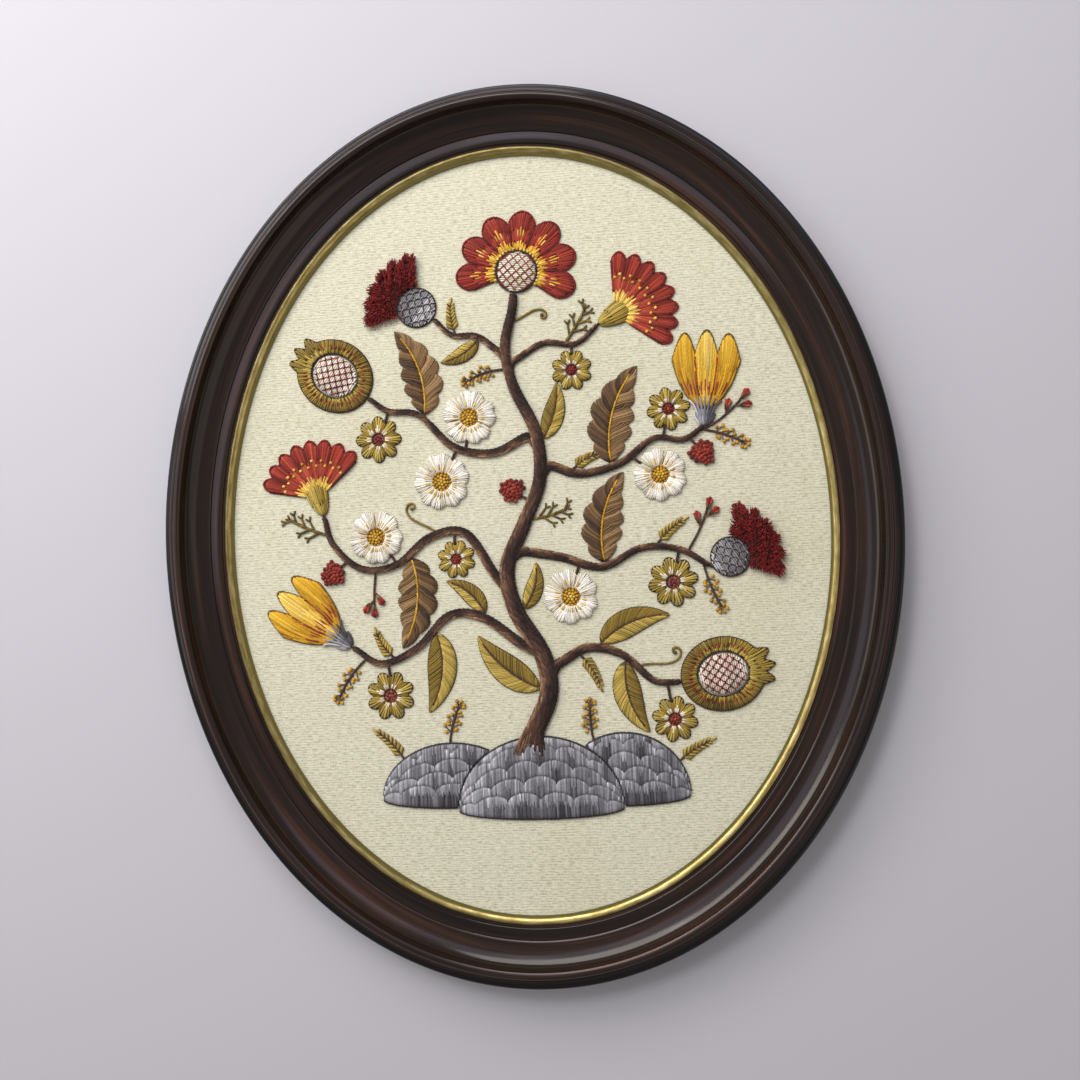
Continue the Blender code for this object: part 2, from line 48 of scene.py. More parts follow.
def linear(hexColour):
    channels = [int(hexColour[i:i + 2], 16) / 255 for i in (1, 3, 5)]
    return [c / 12.92 if c <= 0.04045 else ((c + 0.055) / 1.055) ** 2.4 for c in channels]


def setStops(elements, stops):
    while len(elements) < len(stops):
        elements.new(0.5)
    for element, (place, hexColour) in zip(elements, stops):
        element.position = place
        element.color = (*linear(hexColour), 1)


def addNode(tree, kind, settings=None, links=None):
    node = tree.nodes.new("ShaderNode" + kind)
    for name, value in (settings or {}).items():
        if name == "stops":
            setStops(node.color_ramp.elements, value)
        elif isinstance(name, str) and hasattr(node, name):
            setattr(node, name, value)
        else:
            node.inputs[name].default_value = value
    for name, source in (links or {}).items():
        tree.links.new(source, node.inputs[name])
    return node


def newMaterial(name):
    material = bpy.data.materials.new(name)
    material.use_nodes = True
    return material, material.node_tree, material.node_tree.nodes["Principled BSDF"]


def finishSurface(tree, shader, colour, relief, values):
    # values are what is the same all over the surface
    tree.links.new(colour, shader.inputs["Base Color"])
    tree.links.new(relief.outputs[0], shader.inputs["Normal"])
    for name, value in values.items():
        shader.inputs[name].default_value = value


def meshPiece(name, points, faces, material, smooth=True):
    mesh = bpy.data.meshes.new(name)
    mesh.from_pydata(points, [], faces)
    mesh.polygons.foreach_set("use_smooth", [smooth] * len(mesh.polygons))
    mesh.materials.append(material)
    item = bpy.data.objects.new(name, mesh)
    bpy.context.scene.collection.objects.link(item)
    return item


def ready(item, nodes):
    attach(item, "root")
    if nodes:
        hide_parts(*nodes)


def mix(a, b, share):
    return a + (b - a) * share


# Frame: the moulding and its gilt slip are swept round the oval

sight = {"width": 394 * mm, "height": 499 * mm, "steps": 360, "sharpFrom": 20}    # sharpFrom: degrees


def ovalPoint(angle, outward):
    a, b = sight["width"] / 2, sight["height"] / 2
    nx, ny = math.cos(angle) / a, math.sin(angle) / b
    length = math.hypot(nx, ny)
    return a * math.cos(angle) + outward * nx / length, b * math.sin(angle) + outward * ny / length


def arc(x, y, radiusX, radiusY, start, end, count):
    angles = [math.radians(start + (end - start) * i / count) for i in range(count + 1)]
    return [(x + radiusX * math.cos(a), y + radiusY * math.sin(a)) for a in angles]


def sweepRound(name, profile, material):
    # profile: (outward, up) in mm, closed; the "run" layer holds the distance across it, in metres
    count, rows = sight["steps"], len(profile)
    points = []
    for i in range(count):
        angle = 2 * math.pi * i / count
        for out, up in profile:
            x, y = ovalPoint(angle, out * mm)
            points.append((x, y, up * mm))
    walk = [0]
    for (x0, y0), (x1, y1) in zip(profile, profile[1:] + profile[:1]):
        walk.append(walk[-1] + math.hypot(x1 - x0, y1 - y0) * mm)
    faces, marks = [], []
    for i in range(count):
        for k in range(rows):
            a, b = i * rows + k, i * rows + (k + 1) % rows
            c, d = (i + 1) % count * rows + (k + 1) % rows, (i + 1) % count * rows + k
            faces.append((a, b, c, d))
            marks += [(i / count, walk[k]), (i / count, walk[k + 1]),
                      ((i + 1) / count, walk[k + 1]), ((i + 1) / count, walk[k])]
    item = meshPiece(name, points, faces, material)
    layer = item.data.uv_layers.new(name="run")
    layer.data.foreach_set("uv", [value for mark in marks for value in mark])
    item.data.set_sharp_from_angle(angle=math.radians(sight["sharpFrom"]))
    return item


def acrossProfile(tree):
    run = addNode(tree, "UVMap", {"uv_map": "run"}).outputs[0]
    return addNode(tree, "SeparateXYZ", links={0: run}).outputs["Y"]


def alongSweep(tree, longMm, wideMm):
    # Place on the panel drawn out by longMm, and distance across the profile in steps of wideMm:
    # a pattern read there runs along the moulding and meets itself all the way round
    place = addNode(tree, "TexCoord").outputs["Object"]
    flat = addNode(tree, "SeparateXYZ", links={0: place})
    joined = addNode(tree, "CombineXYZ",
                     links={"X": flat.outputs["X"], "Y": flat.outputs["Y"], "Z": acrossProfile(tree)})
    scale = (1000 / longMm, 1000 / longMm, 1000 / wideMm)
    return addNode(tree, "Mapping", {"Scale": scale}, {"Vector": joined.outputs[0]}).outputs[0]


moulding = {
    "rabbet": 7.0, "ledge": 9.1, "lip": 5.3, "lipTop": 12.4,                 # mm outward or up
    "streakLong": 55, "streakWide": 0.5, "driftLong": 170, "driftWide": 6,   # mm
    "streakShare": 0.6, "grainStrength": 0.2, "grain": 0.08 * mm,
    "stain": [(0.54, "#160E0B"), (0.72, "#211611"), (0.88, "#2D1D16"), (1.0, "#44291F")],
    "side": "#0D0908", "sideUpTo": 25 * mm, "faceFrom": 29 * mm,             # across, from the foot up
    "finish": {"Roughness": 0.6, "Specular IOR Level": 0.08, "Coat Weight": 0.8, "Coat Roughness": 0.14},
    # three fillets: inner and outer edge, and how high, in mm
    "fillets": [(34.85, 36.25, 27), (36.8, 37.6, 25.5), (38.15, 39.1, 23.2)], "filletLean": 0.06,
}


def stainedWalnut():
    # Close-grained hardwood, walnut stained and wiped, under satin lacquer: nearly black brown, with
    # thin reddish streaks that run with the moulding, blacker down its outer side, and crisp
    # highlights on its edges.
    m = moulding
    material, tree, shader = newMaterial("stained walnut, satin lacquer")
    fine = alongSweep(tree, m["streakLong"], m["streakWide"])
    broad = alongSweep(tree, m["driftLong"], m["driftWide"])
    streak = addNode(tree, "TexNoise", {"Scale": 1.0, "Detail": 3.0}, {"Vector": fine})
    drift = addNode(tree, "TexNoise", {"Scale": 1.0, "Detail": 2.0}, {"Vector": broad})
    both = addNode(tree, "Math", {"operation": "MULTIPLY_ADD", 1: m["streakShare"]},
                   {0: streak.outputs["Fac"], 2: drift.outputs["Fac"]})
    stain = addNode(tree, "ValToRGB", {"stops": m["stain"]}, {"Fac": both.outputs[0]})
    face = addNode(tree, "MapRange", {"From Min": m["sideUpTo"], "From Max": m["faceFrom"]},
                   {"Value": acrossProfile(tree)})
    coloured = addNode(tree, "Mix", {"data_type": "RGBA", 6: (*linear(m["side"]), 1)},
                       {0: face.outputs[0], 7: stain.outputs["Color"]})
    grain = addNode(tree, "Bump", {"Strength": m["grainStrength"], "Distance": m["grain"]},
                    {"Height": streak.outputs["Fac"]})
    finishSurface(tree, shader, coloured.outputs[2], grain, m["finish"])
    return material


def mouldingProfile():
    # Rabbet, ledge and lip, then over the face from the sight edge outward, in mm
    m = moulding
    lip, top = m["lip"], m["lipTop"]
    profile = [(m["rabbet"], 0), (m["rabbet"], m["ledge"]), (lip, m["ledge"]), (lip, top - 0.25)]
    profile += [(lip + 0.25, top), (6.6, top), (6.9, top + 0.1)]
    profile += arc(7.9, 12.7, 0.75, 0.75, 160, 95, 3)                  # quirk, then the flat band
    profile += [(11, 13.3), (14.98, 13.07), (15.04, 13.8), (15.85, 14.43)]    # bevelled arris
    profile += arc(11.65, 38.63, 24.5, 24.5, -79.6, -50, 12)           # cove, open and then steep
    profile += arc(23.41, 24.61, 6.2, 6.2, -50, -6, 8)[1:] + [(30.02, 28.4), (30.08, 28.9)]
    profile += arc(32.4, 28.2, 2.3, 1.8, 130, 12, 8)                   # bevel and bead at the crest
    for inner, outer, z in m["fillets"]:          # each leans in a little, with a bevel outside
        edge = z + m["filletLean"] * (outer - inner)
        profile += [(inner, z), (outer, edge), (outer + 0.3, edge - 0.095)]
    profile += [(39.6, 21.5), (40.5, 21.45)]
    profile += arc(41.7, 18.4, 2.1, 3.1, 92, 0, 8)                     # outer round
    profile += [(43.8, 9), (43.8, 1.6), (43.6, 1.0), (43.0, 0.3), (42.4, 0)]
    return profile[::-1]


slip = {
    "width": 5.0, "foot": 9.1, "patchLong": 12, "patchWide": 2.4,      # mm
    "leaf": [(0.30, "#8A7C47"), (0.52, "#BEAA69"), (0.78, "#E8DAA2")], "slopeKhaki": "#7C7446",
    "crest": 7.8 * mm, "slope": 9.2 * mm, "wearStrength": 0.3, "wear": 0.1 * mm,
    "finish": {"Metallic": 0.85, "Roughness": 0.3},
}


def wornGilt():
    # Dutch metal leaf on a carved lip: gold that brightens where it faces the light, with a
    # duller khaki colour across its inner slope next to the cloth.
    material, tree, shader = newMaterial("toned gilt leaf")
    place = alongSweep(tree, slip["patchLong"], slip["patchWide"])
    patches = addNode(tree, "TexNoise", {"Scale": 1.0, "Detail": 5.0, "Roughness": 0.6},
                      {"Vector": place}).outputs["Fac"]
    leaf = addNode(tree, "ValToRGB", {"stops": slip["leaf"]}, {"Fac": patches})
    # khaki over the inner slope, from the crest distance to the slope distance across the profile
    slopeShare = addNode(tree, "MapRange", {"From Min": slip["crest"], "From Max": slip["slope"]},
                   {"Value": acrossProfile(tree)})
    toned = addNode(tree, "Mix", {"data_type": "RGBA", 7: (*linear(slip["slopeKhaki"]), 1)},
                    {0: slopeShare.outputs[0], 6: leaf.outputs["Color"]})
    worn = addNode(tree, "Bump", {"Strength": slip["wearStrength"], "Distance": slip["wear"]},
                   {"Height": patches})
    finishSurface(tree, shader, toned.outputs[2], worn, slip["finish"])
    return material


def slipProfile():
    # A slope that faces the cloth, then a narrow level crest and a back that falls away
    wide, foot = slip["width"], slip["foot"]
    profile = [(0, foot), (0.05, 10.0), (0.2, 10.3)]
    profile += arc(5.6, 9.7, 5.3, 4.1, 166, 110, 9)
    profile += [(4.1, 13.54), (wide - 0.1, 13.2), (wide, 13), (wide, foot)]
    return profile[::-1]


ready(sweepRound("oval_moulding", mouldingProfile(), stainedWalnut()), ["oval_frame"])
ready(sweepRound("gilt_lip", slipProfile(), wornGilt()), ["gilt_slip"])
print("frame swept")


# Linen ground

linen = {
    "top": 8.8 * mm, "thick": 0.7 * mm, "reach": 6.7 * mm,            # reach: past the sight edge
    "rings": 56, "steps": 240, "sag": 0.25 * mm, "sagWaves": (31, 23),
    # mm: the real cloth has about 2 threads a mm, drawn coarser so that they show
    "weftLong": 4, "weftWide": 0.62, "slubLong": 22, "slubWide": 0.9, "warpLong": 3, "warpWide": 0.62,
    "pitch": 1.7 * mm, "wander": 6.0, "wanderLong": 30, "wanderWide": 6,
    "weftShare": 0.6, "warpShare": 0.27, "slubShare": 0.15, "rowShare": 0.042,
    "thread": [(0.37, "#B9B69A"), (0.516, "#DEDCC4"), (0.636, "#EBE9D4")],
    "soiled": "#E9E3CE", "soilScale": 9.0, "soilFrom": 0.5, "soilTo": 0.8, "soilMost": 0.3,   # 110 mm stains
    "weaveStrength": 0.9, "weave": 0.36 * mm, "finish": {"Roughness": 0.92, "Sheen Weight": 0.1},
}


def clothNoise(tree, place, wideX, wideY, detail):
    # wideX and wideY: about how far apart its spots lie, in mm
    drawn = addNode(tree, "Mapping", {"Scale": (1000 / wideX, 1000 / wideY, 1)}, {"Vector": place})
    return addNode(tree, "TexNoise", {"Scale": 1.0, "Detail": detail},
                   {"Vector": drawn.outputs[0]}).outputs["Fac"]


def naturalLinen():
    # Half-bleached plain-weave linen of uneven hand-spun look: matt and pale, with crisp
    # weft threads and slubs that run across it, and a much fainter warp.
    c = linen
    material, tree, shader = newMaterial("plain-weave linen")
    place = addNode(tree, "TexCoord").outputs["Object"]
    weft = clothNoise(tree, place, c["weftLong"], c["weftWide"], 1.5)
    slub = clothNoise(tree, place, c["slubLong"], c["slubWide"], 1.0)
    warp = clothNoise(tree, place, c["warpWide"], c["warpLong"], 1.0)
    flat = addNode(tree, "SeparateXYZ", links={0: place})
    picks = addNode(tree, "Math", {"operation": "MULTIPLY", 1: 2 * math.pi / c["pitch"]},
                    {0: flat.outputs["Y"]})
    uneven = addNode(tree, "Math", {"operation": "MULTIPLY_ADD", 1: c["wander"]},
                     {0: clothNoise(tree, place, c["wanderLong"], c["wanderWide"], 0.0), 2: picks.outputs[0]})
    row = addNode(tree, "Math", {"operation": "SINE"}, {0: uneven.outputs[0]}).outputs[0]
    height = None
    for source, share in ((weft, "weftShare"), (warp, "warpShare"), (slub, "slubShare"), (row, "rowShare")):
        before = {2: height} if height else {}
        height = addNode(tree, "Math", {"operation": "MULTIPLY_ADD", 1: c[share], 2: 0.0},
                         {0: source} | before).outputs[0]
    thread = addNode(tree, "ValToRGB", {"stops": c["thread"]}, {"Fac": height})
    stain = addNode(tree, "TexNoise", {"Scale": c["soilScale"], "Detail": 3.0}, {"Vector": place})
    soil = addNode(tree, "MapRange",
                   {"From Min": c["soilFrom"], "From Max": c["soilTo"], "To Max": c["soilMost"]},
                   {"Value": stain.outputs["Fac"]})
    soiled = addNode(tree, "Mix",
                     {"data_type": "RGBA", "blend_type": "MULTIPLY", 7: (*linear(c["soiled"]), 1)},
                     {0: soil.outputs[0], 6: thread.outputs["Color"]})
    weave = addNode(tree, "Bump", {"Strength": c["weaveStrength"], "Distance": c["weave"]},
                    {"Height": height})
    finishSurface(tree, shader, soiled.outputs[2], weave, c["finish"])
    return material


def stretchLinen(material):
    # One closed skin: rings of the oval over the top, round the cut edge and back underneath
    rings, count = linen["rings"], linen["steps"]
    waveX, waveY = linen["sagWaves"]
    points, faces = [(0, 0, linen["top"])], []
    for side in (0, 1):
        for r in range(1, rings + 1):
            share = r / rings
            for i in range(count):
                x, y = (v * share for v in ovalPoint(2 * math.pi * i / count, linen["reach"]))
                ease = linen["sag"] * math.sin(waveX * x + 1.3) * math.cos(waveY * y) * (1 - share ** 2)
                points.append((x, y, linen["top"] - side * linen["thick"] + ease))
    bottom = len(points)
    points.append((0, 0, linen["top"] - linen["thick"]))
    under = 1 + rings * count
    for i in range(count):
        k = (i + 1) % count
        faces.append((0, 1 + i, 1 + k))
        faces.append((bottom, under + k, under + i))
        for r in range(rings - 1):
            a, b = 1 + r * count, 1 + (r + 1) * count
            faces.append((a + i, b + i, b + k, a + k))
            faces.append((under + r * count + i, under + r * count + k,
                          under + (r + 1) * count + k, under + (r + 1) * count + i))
        rim, low = 1 + (rings - 1) * count, under + (rings - 1) * count
        faces.append((rim + i, low + i, low + k, rim + k))
    return meshPiece("linen_ground", points, faces, material)


ground = stretchLinen(naturalLinen())
ready(ground, ["linen_panel"])
print("linen stretched")


# The chart: a tree with boughs, and what grows on them

chart = {"unit": 0.93 * mm, "lift": 8 * mm, "ahead": 0.01,
         "boughSlack": 0.8, "boughSet": 0.45, "stemSlack": 1.6, "sideSlack": 0.9}

# Routes are in chart units, and so are the widths at root and tip
trunkRoute = [(2, -148), (13, -122), (9, -94), (-8, -64), (-13, -34), (0, -4), (13, 28),
              (11, 62), (-3, 94), (-8, 122), (-2, 148), (0, 160)]
trunkWidths = (13.0, 5.0)
boughs = {
    # name: share of the trunk where it starts, side (1 is left), route, width at root and tip
    "bough_low_left": (0.215, 1, [(-32, -68), (-56, -66), (-80, -88), (-106, -98), (-126, -86)], 6.4, 3.2),
    "bough_low_right": (0.15, -1, [(42, -92), (66, -98), (86, -116), (104, -118)], 6.4, 3.2),
    "bough_mid_left": (0.35, 1, [(-42, -8), (-68, -10), (-92, -28), (-118, -30), (-138, -12), (-144, 8)],
                       6.0, 3.0),
    "bough_mid_right": (0.41, -1, [(26, -28), (54, -36), (82, -24), (108, -26), (128, -38)], 6.0, 3.0),
    "bough_top_left": (0.63, 1, [(-20, 48), (-48, 54), (-72, 78), (-94, 82), (-108, 92)], 5.8, 2.8),
    "bough_top_right": (0.57, -1, [(42, 30), (70, 36), (94, 52), (114, 50), (128, 58)], 5.8, 2.8),
    "twig_left": (0.815, 1, [(-28, 132), (-46, 134), (-58, 146)], 4.0, 2.6),
    "twig_right": (0.785, -1, [(20, 124), (42, 122), (58, 134)], 4.0, 2.6),
}

# kind, stem, share along it, side (0 is its tip), turn in degrees, size, bend, reach off the stem
motifs = [
    ("palmette", "trunk", 1, 0, 0, 1.4, 0, 0),
    ("thistle", "twig_left", 1, 0, 10, 1.3, 0, 0),
    ("thistle", "bough_mid_right", 1, 0, 62, 1.25, 0, 2),
    ("carnation", "twig_right", 1, 0, -10, 1.3, 0, 0),
    ("carnation", "bough_mid_left", 1, 0, 0, 1.25, 0, 0),
    ("fruit", "bough_top_left", 1, 0, 0, 1.2, 0, 0),
    ("fruit", "bough_low_right", 1, 0, 15, 1.2, 0, 0),
    ("tulip", "bough_top_right", 1, 0, 55, 1.3, 0, 0),
    ("tulip", "bough_low_left", 1, 0, -5, 1.3, 0, 0),
    ("rose", "bough_top_left", 0.34, -1, 80, 1.25, 0, 3),
    ("rose", "bough_top_left", 0.38, 1, 88, 1.3, 0, 4),
    ("rose", "bough_mid_right", 0.29, -1, 85, 1.25, 0, 3),
    ("rose", "bough_mid_left", 0.50, -1, 75, 1.25, 0, 4),
    ("rose", "bough_top_right", 0.46, -1, 70, 1.2, 0, 4),
    ("daisy", "bough_top_left", 0.80, 1, 88, 1.1, 0, 3),
    ("daisy", "bough_mid_left", 0.22, 1, 96, 0.9, 0, 4),
    ("daisy", "bough_low_right", 0.88, -1, 80, 1.05, 0, 8),
    ("daisy", "bough_top_right", 0.66, 1, 84, 1.0, 0, 3),
    ("daisy", "twig_right", 0.62, -1, 92, 0.95, 0, 2),
    ("daisy", "bough_low_left", 0.76, 1, 80, 1.15, 0, 4),
    ("daisy", "bough_mid_right", 0.80, -1, 85, 1.15, 0, 4),
    ("plume", "bough_top_left", 0.58, -1, 58, 1.1, -0.9, 0),
    ("plume", "bough_top_right", 0.36, 1, 80, 1.2, -0.9, 0),
    ("plume", "bough_mid_left", 0.44, 1, 66, 1.1, -0.9, 0),
    ("plume", "bough_mid_right", 0.42, 1, 88, 1.1, -0.9, 0),
    ("leaf", "bough_low_left", 0.20, -1, 43, 0.75, -0.9, 0),
    ("leaf", "bough_low_right", 0.34, 1, 56, 1.1, -0.9, 0),
    ("leaf", "bough_low_left", 0.50, 1, 60, 1.2, -0.9, 0),
    ("leaf", "bough_low_right", 0.54, -1, 60, 1.1, -0.9, 0),
    ("leaf", "trunk", 0.10, 1, 72, 1.2, -0.7, 0),
    ("leaf", "trunk", 0.62, -1, 43, 0.85, -0.6, 0),
    ("leaf", "trunk", 0.27, -1, 62, 0.7, -0.8, 0),
    ("leaf", "twig_left", 0.30, 1, 78, 0.65, -0.8, 0),
    ("berries", "bough_mid_left", 0.74, 1, 80, 1.3, 0, 4),
    ("berries", "bough_top_right", 0.86, -1, 80, 1.3, 0, 4),
    ("berries", "trunk", 0.50, 1, 80, 1.3, 0, 4),
]


def mirrored(point, about):
    return tuple(2 * m - p for p, m in zip(point, about))


def routePoint(route, share):
    last = len(route) - 1
    k = min(int(share * last), last - 1)
    u = share * last - k
    before = route[k - 1] if k > 0 else mirrored(route[1], route[0])
    after = route[k + 2] if k + 2 <= last else mirrored(route[last - 1], route[last])
    point = []
    for p, a, b, q in zip(before, route[k], route[k + 1], after):
        point.append(0.5 * (2 * a + (b - p) * u + (2 * p - 5 * a + 4 * b - q) * u * u
                            + (3 * a - p - 3 * b + q) * u ** 3))
    return tuple(point)


def onStem(stem, share):
    # Place, unit direction and half width, in chart units
    route, root, tip = stem
    x0, y0 = routePoint(route, max(0, share - chart["ahead"]))
    x1, y1 = routePoint(route, min(1, share + chart["ahead"]))
    length = math.hypot(x1 - x0, y1 - y0)
    way = ((x1 - x0) / length, (y1 - y0) / length)
    return routePoint(route, share), way, (root + (tip - root) * share) / 2


def growStems():
    trunk = (trunkRoute, *trunkWidths)
    grown = {"trunk": trunk}
    for name, (start, side, route, root, tip) in boughs.items():
        (x, y), (dx, dy), half = onStem(trunk, start)
        off = (half + chart["boughSlack"] + chart["boughSet"] * root) * side
        grown[name] = ([(x - dy * off, y + dx * off)] + route, root, tip)
    return grown


stems = growStems()


def footOf(motif):
    # Foot in chart units, and the heading in radians from +Y, left positive
    kind, stem, share, side, turn, size, bend, reach = motif
    (x, y), (dx, dy), half = onStem(stems[stem], share)
    heading = math.atan2(-dx, dy)
    if side == 0:
        clear = chart["stemSlack"] + reach
        return x + dx * clear, y + dy * clear, heading + math.radians(turn)
    heading += side * math.radians(turn)
    clear = (half + chart["sideSlack"]) * side
    return (x - dy * clear - math.sin(heading) * reach,
            y + dx * clear + math.cos(heading) * reach, heading)


def motifsOf(kind):
    # Foot, size and bend of every motif of a kind
    return [(footOf(motif), motif[5], motif[6] * motif[3]) for motif in motifs if motif[0] == kind]


def onPanel(x, y, foot=(0, 0, 0)):
    # From a motif's own chart units, growing along +Y, to metres on the panel
    footX, footY, heading = foot
    cos, sin = math.cos(heading), math.sin(heading)
    unit = chart["unit"]
    return (footX + x * cos - y * sin) * unit, (footY + x * sin + y * cos) * unit + chart["lift"]


def onFoot(foot, rise=0.0):
    return lambda x, y: onPanel(x, y + rise, foot)


# Yarns: every thread is laid as its own closed tube

wool = {
    "wide": 1.55 * mm, "flat": 0.92, "sides": 5, "pileSides": 4,
    "twist": 2.2, "twistDepth": 0.08 * mm, "twistShare": 0.09,        # twist: radians a mm
    "twistStrength": 0.5, "fuzz": 1400.0,                              # hairs about 0.7 mm apart
    "fuzzRange": (0.2, 0.8), "darker": 0.84, "lighter": 1.22,
    # flankShadeRange and flank: painted shade down each thread's sides, down to this share of its colour
    "flankShadeRange": (-0.1, 0.8), "flankShade": 0.22, "pileFlankShade": 0.95,
    "vary": 0.26, "settle": 0.13, "uneven": 0.07,       # how unlike the threads are
    "finish": {"Roughness": 0.9, "Sheen Weight": 0.15, "Sheen Roughness": 0.5},
}
dyes = {
    "grey": ["#3A393E", "#57565C", "#79787F", "#9C9BA2", "#C3C2C8"],
    "brown": ["#281914", "#3B2720", "#553A2D", "#77573F", "#9A7A56"],
    "rust": ["#6A1C15", "#86281D", "#A03827", "#BC5238"],
    "maroon": ["#661211", "#841917", "#A12A22"],
    "mustard": ["#6A561F", "#87702A", "#A58B35", "#BFA651"],
    "gold": ["#B37F14", "#D09C1E", "#E4B636", "#EECB66"],
    "cream": ["#CBC2A8", "#E1DAC5", "#EEE8D8", "#F6F2E8"],
    "tan": ["#4A3626", "#644B30", "#80633F", "#9F8058"],
}

# piece: its yarn, then what it stands for: one solid, or a part of every motif of a kind
work = {
    "mound_front_rows": ("grey", "mound_front"),
    "mound_left_rows": ("grey", "mound_left"),
    "mound_right_rows": ("grey", "mound_right"),
    **{name + "_ropes": ("brown", name) for name in stems},
    "palmette_petals_sewn": ("rust", "palmette", "petals"),
    "palmette_throat": ("gold",),
    "palmette_veins": ("maroon",),
    "palmette_heart_sewn": ("cream", "palmette", "heart"),
    "palmette_lattice": ("rust",),
    "palmette_ties": ("gold",),
    "palmette_ring": ("brown",),
    "carnation_petals_sewn": ("rust", "carnation", "petals"),
    "carnation_throats": ("gold",),
    "carnation_rims": ("maroon",),
    "carnation_calyxes": ("mustard", "carnation", "calyx"),
    "thistle_pile": ("maroon", "thistle", "tuft"),
    "thistle_bulbs": ("grey", "thistle", "bulb"),
    "thistle_nets": ("brown",),
    "thistle_ties": ("cream",),
    "fruit_rinds": ("mustard", "fruit", "rind"),
    "fruit_flecks": ("rust",),
    "fruit_rings": ("brown",),
    "fruit_hearts": ("cream", "fruit", "heart"),
    "fruit_lattices": ("rust",),
    "fruit_ties": ("brown",),
    "tulip_petals_sewn": ("gold", "tulip", "petals"),
    "tulip_veins": ("rust",),
    "tulip_rims": ("mustard",),
    "tulip_calyxes": ("grey", "tulip", "calyx"),
    "rose_petals_sewn": ("cream", "rose", "petals"),
    "rose_flecks": ("tan",),
    "rose_accents": ("gold",),
    "rose_hearts": ("gold",),
    "daisy_petals_sewn": ("mustard", "daisy", "petals"),
    "daisy_creases": ("tan",),
    "daisy_accents": ("cream",),
    "daisy_hearts": ("rust",),
    "leaf_blades": ("mustard", "leaf", "blade"),
    "leaf_veins": ("brown",),
    "leaf_edges": ("tan",),
    "plume_blades": ("tan", "plume", "blade"),
    "plume_veins": ("gold",),
    "berry_knots": ("rust", "berries", "cluster"),
    "stalks": ("brown",),
    "sprig_stems": ("brown",),
    "sprig_stalks": ("tan",),
    "sprig_fronds": ("mustard",),
    "sprig_seeds": ("gold",),
    "sprig_leaflets": ("mustard",),
    "bud_rust": ("rust",),
    "bud_maroon": ("maroon",),
    "tendrils": ("mustard",),
}
laid = {piece: [] for piece in work}      # the threads laid for each piece so far
woolMaterials = {}


def crewelWool(name, cut=False):
    # Two-ply crewel wool, loosely spun: matt and slightly hairy, each thread a little
    # lighter or darker than the next, with painted shade down its flanks, where it beds against its
    # neighbours, and the ply's twist showing in the bump and as painted shade in its grooves. Cut ends show
    # no twist.
    material, tree, shader = newMaterial(name + (" wool pile" if cut else " crewel wool"))
    tint = addNode(tree, "Attribute", {"attribute_name": "tint"})
    lay = addNode(tree, "Attribute", {"attribute_name": "lay"})
    parts = addNode(tree, "SeparateXYZ", links={0: lay.outputs["Vector"]})
    angle = addNode(tree, "Math", {"operation": "ARCTAN2"},
                    {0: parts.outputs["Y"], 1: parts.outputs["X"]})
    turns = addNode(tree, "Math", {"operation": "MULTIPLY", 1: wool["twist"]},
                    {0: parts.outputs["Z"]})
    phase = addNode(tree, "Math", {"operation": "MULTIPLY_ADD", 1: 2.0},
                    {0: angle.outputs[0], 2: turns.outputs[0]})
    ply = addNode(tree, "Math", {"operation": "SINE"}, {0: phase.outputs[0]})
    fuzz = addNode(tree, "TexNoise", {"Scale": wool["fuzz"], "Detail": 2.0},
                   {"Vector": addNode(tree, "TexCoord").outputs["Object"]})
    height = addNode(tree, "Math", {"operation": "MULTIPLY_ADD", 1: 0.0 if cut else wool["twistShare"]},
                     {0: ply.outputs[0], 2: fuzz.outputs["Fac"]})
    # fuzz tone at random, and painted shade in the grooves of the ply's twist
    low, high = wool["fuzzRange"]
    shade = addNode(tree, "MapRange", {"From Min": low, "From Max": high,
                                       "To Min": wool["darker"], "To Max": wool["lighter"]},
                    {"Value": height.outputs[0]})
    # painted shade: each thread darker down its sides, by where it lies round the thread
    low, high = wool["flankShadeRange"]
    flankShade = addNode(tree, "MapRange", {"From Min": low, "From Max": high,
                                       "To Min": wool["pileFlankShade" if cut else "flankShade"]},
                    {"Value": parts.outputs["Y"]})
    fuzzAndFlankShade = addNode(tree, "Math", {"operation": "MULTIPLY"},
                    {0: shade.outputs[0], 1: flankShade.outputs[0]})
    mixed = addNode(tree, "VectorMath", {"operation": "SCALE"},
                    {0: tint.outputs["Color"], "Scale": fuzzAndFlankShade.outputs[0]})
    twisted = addNode(tree, "Bump", {"Strength": wool["twistStrength"], "Distance": wool["twistDepth"]},
                      {"Height": height.outputs[0]})
    finishSurface(tree, shader, mixed.outputs[0], twisted, wool["finish"])
    return material


def dyed(piece, shade):
    # shade runs from 0, the darkest skein, to 1, the palest; no two threads match exactly.
    # A thread that is cut from one already dyed keeps its colour.
    if isinstance(shade, list):
        return shade
    skeins = dyes[work[piece][0]]
    pick = round(shade * (len(skeins) - 1) + rng.uniform(-0.45, 0.45))
    colour = linear(skeins[max(0, min(len(skeins) - 1, pick))])
    vary = rng.uniform(1 - wool["vary"], 1 + wool["vary"])
    return [c * vary for c in colour]


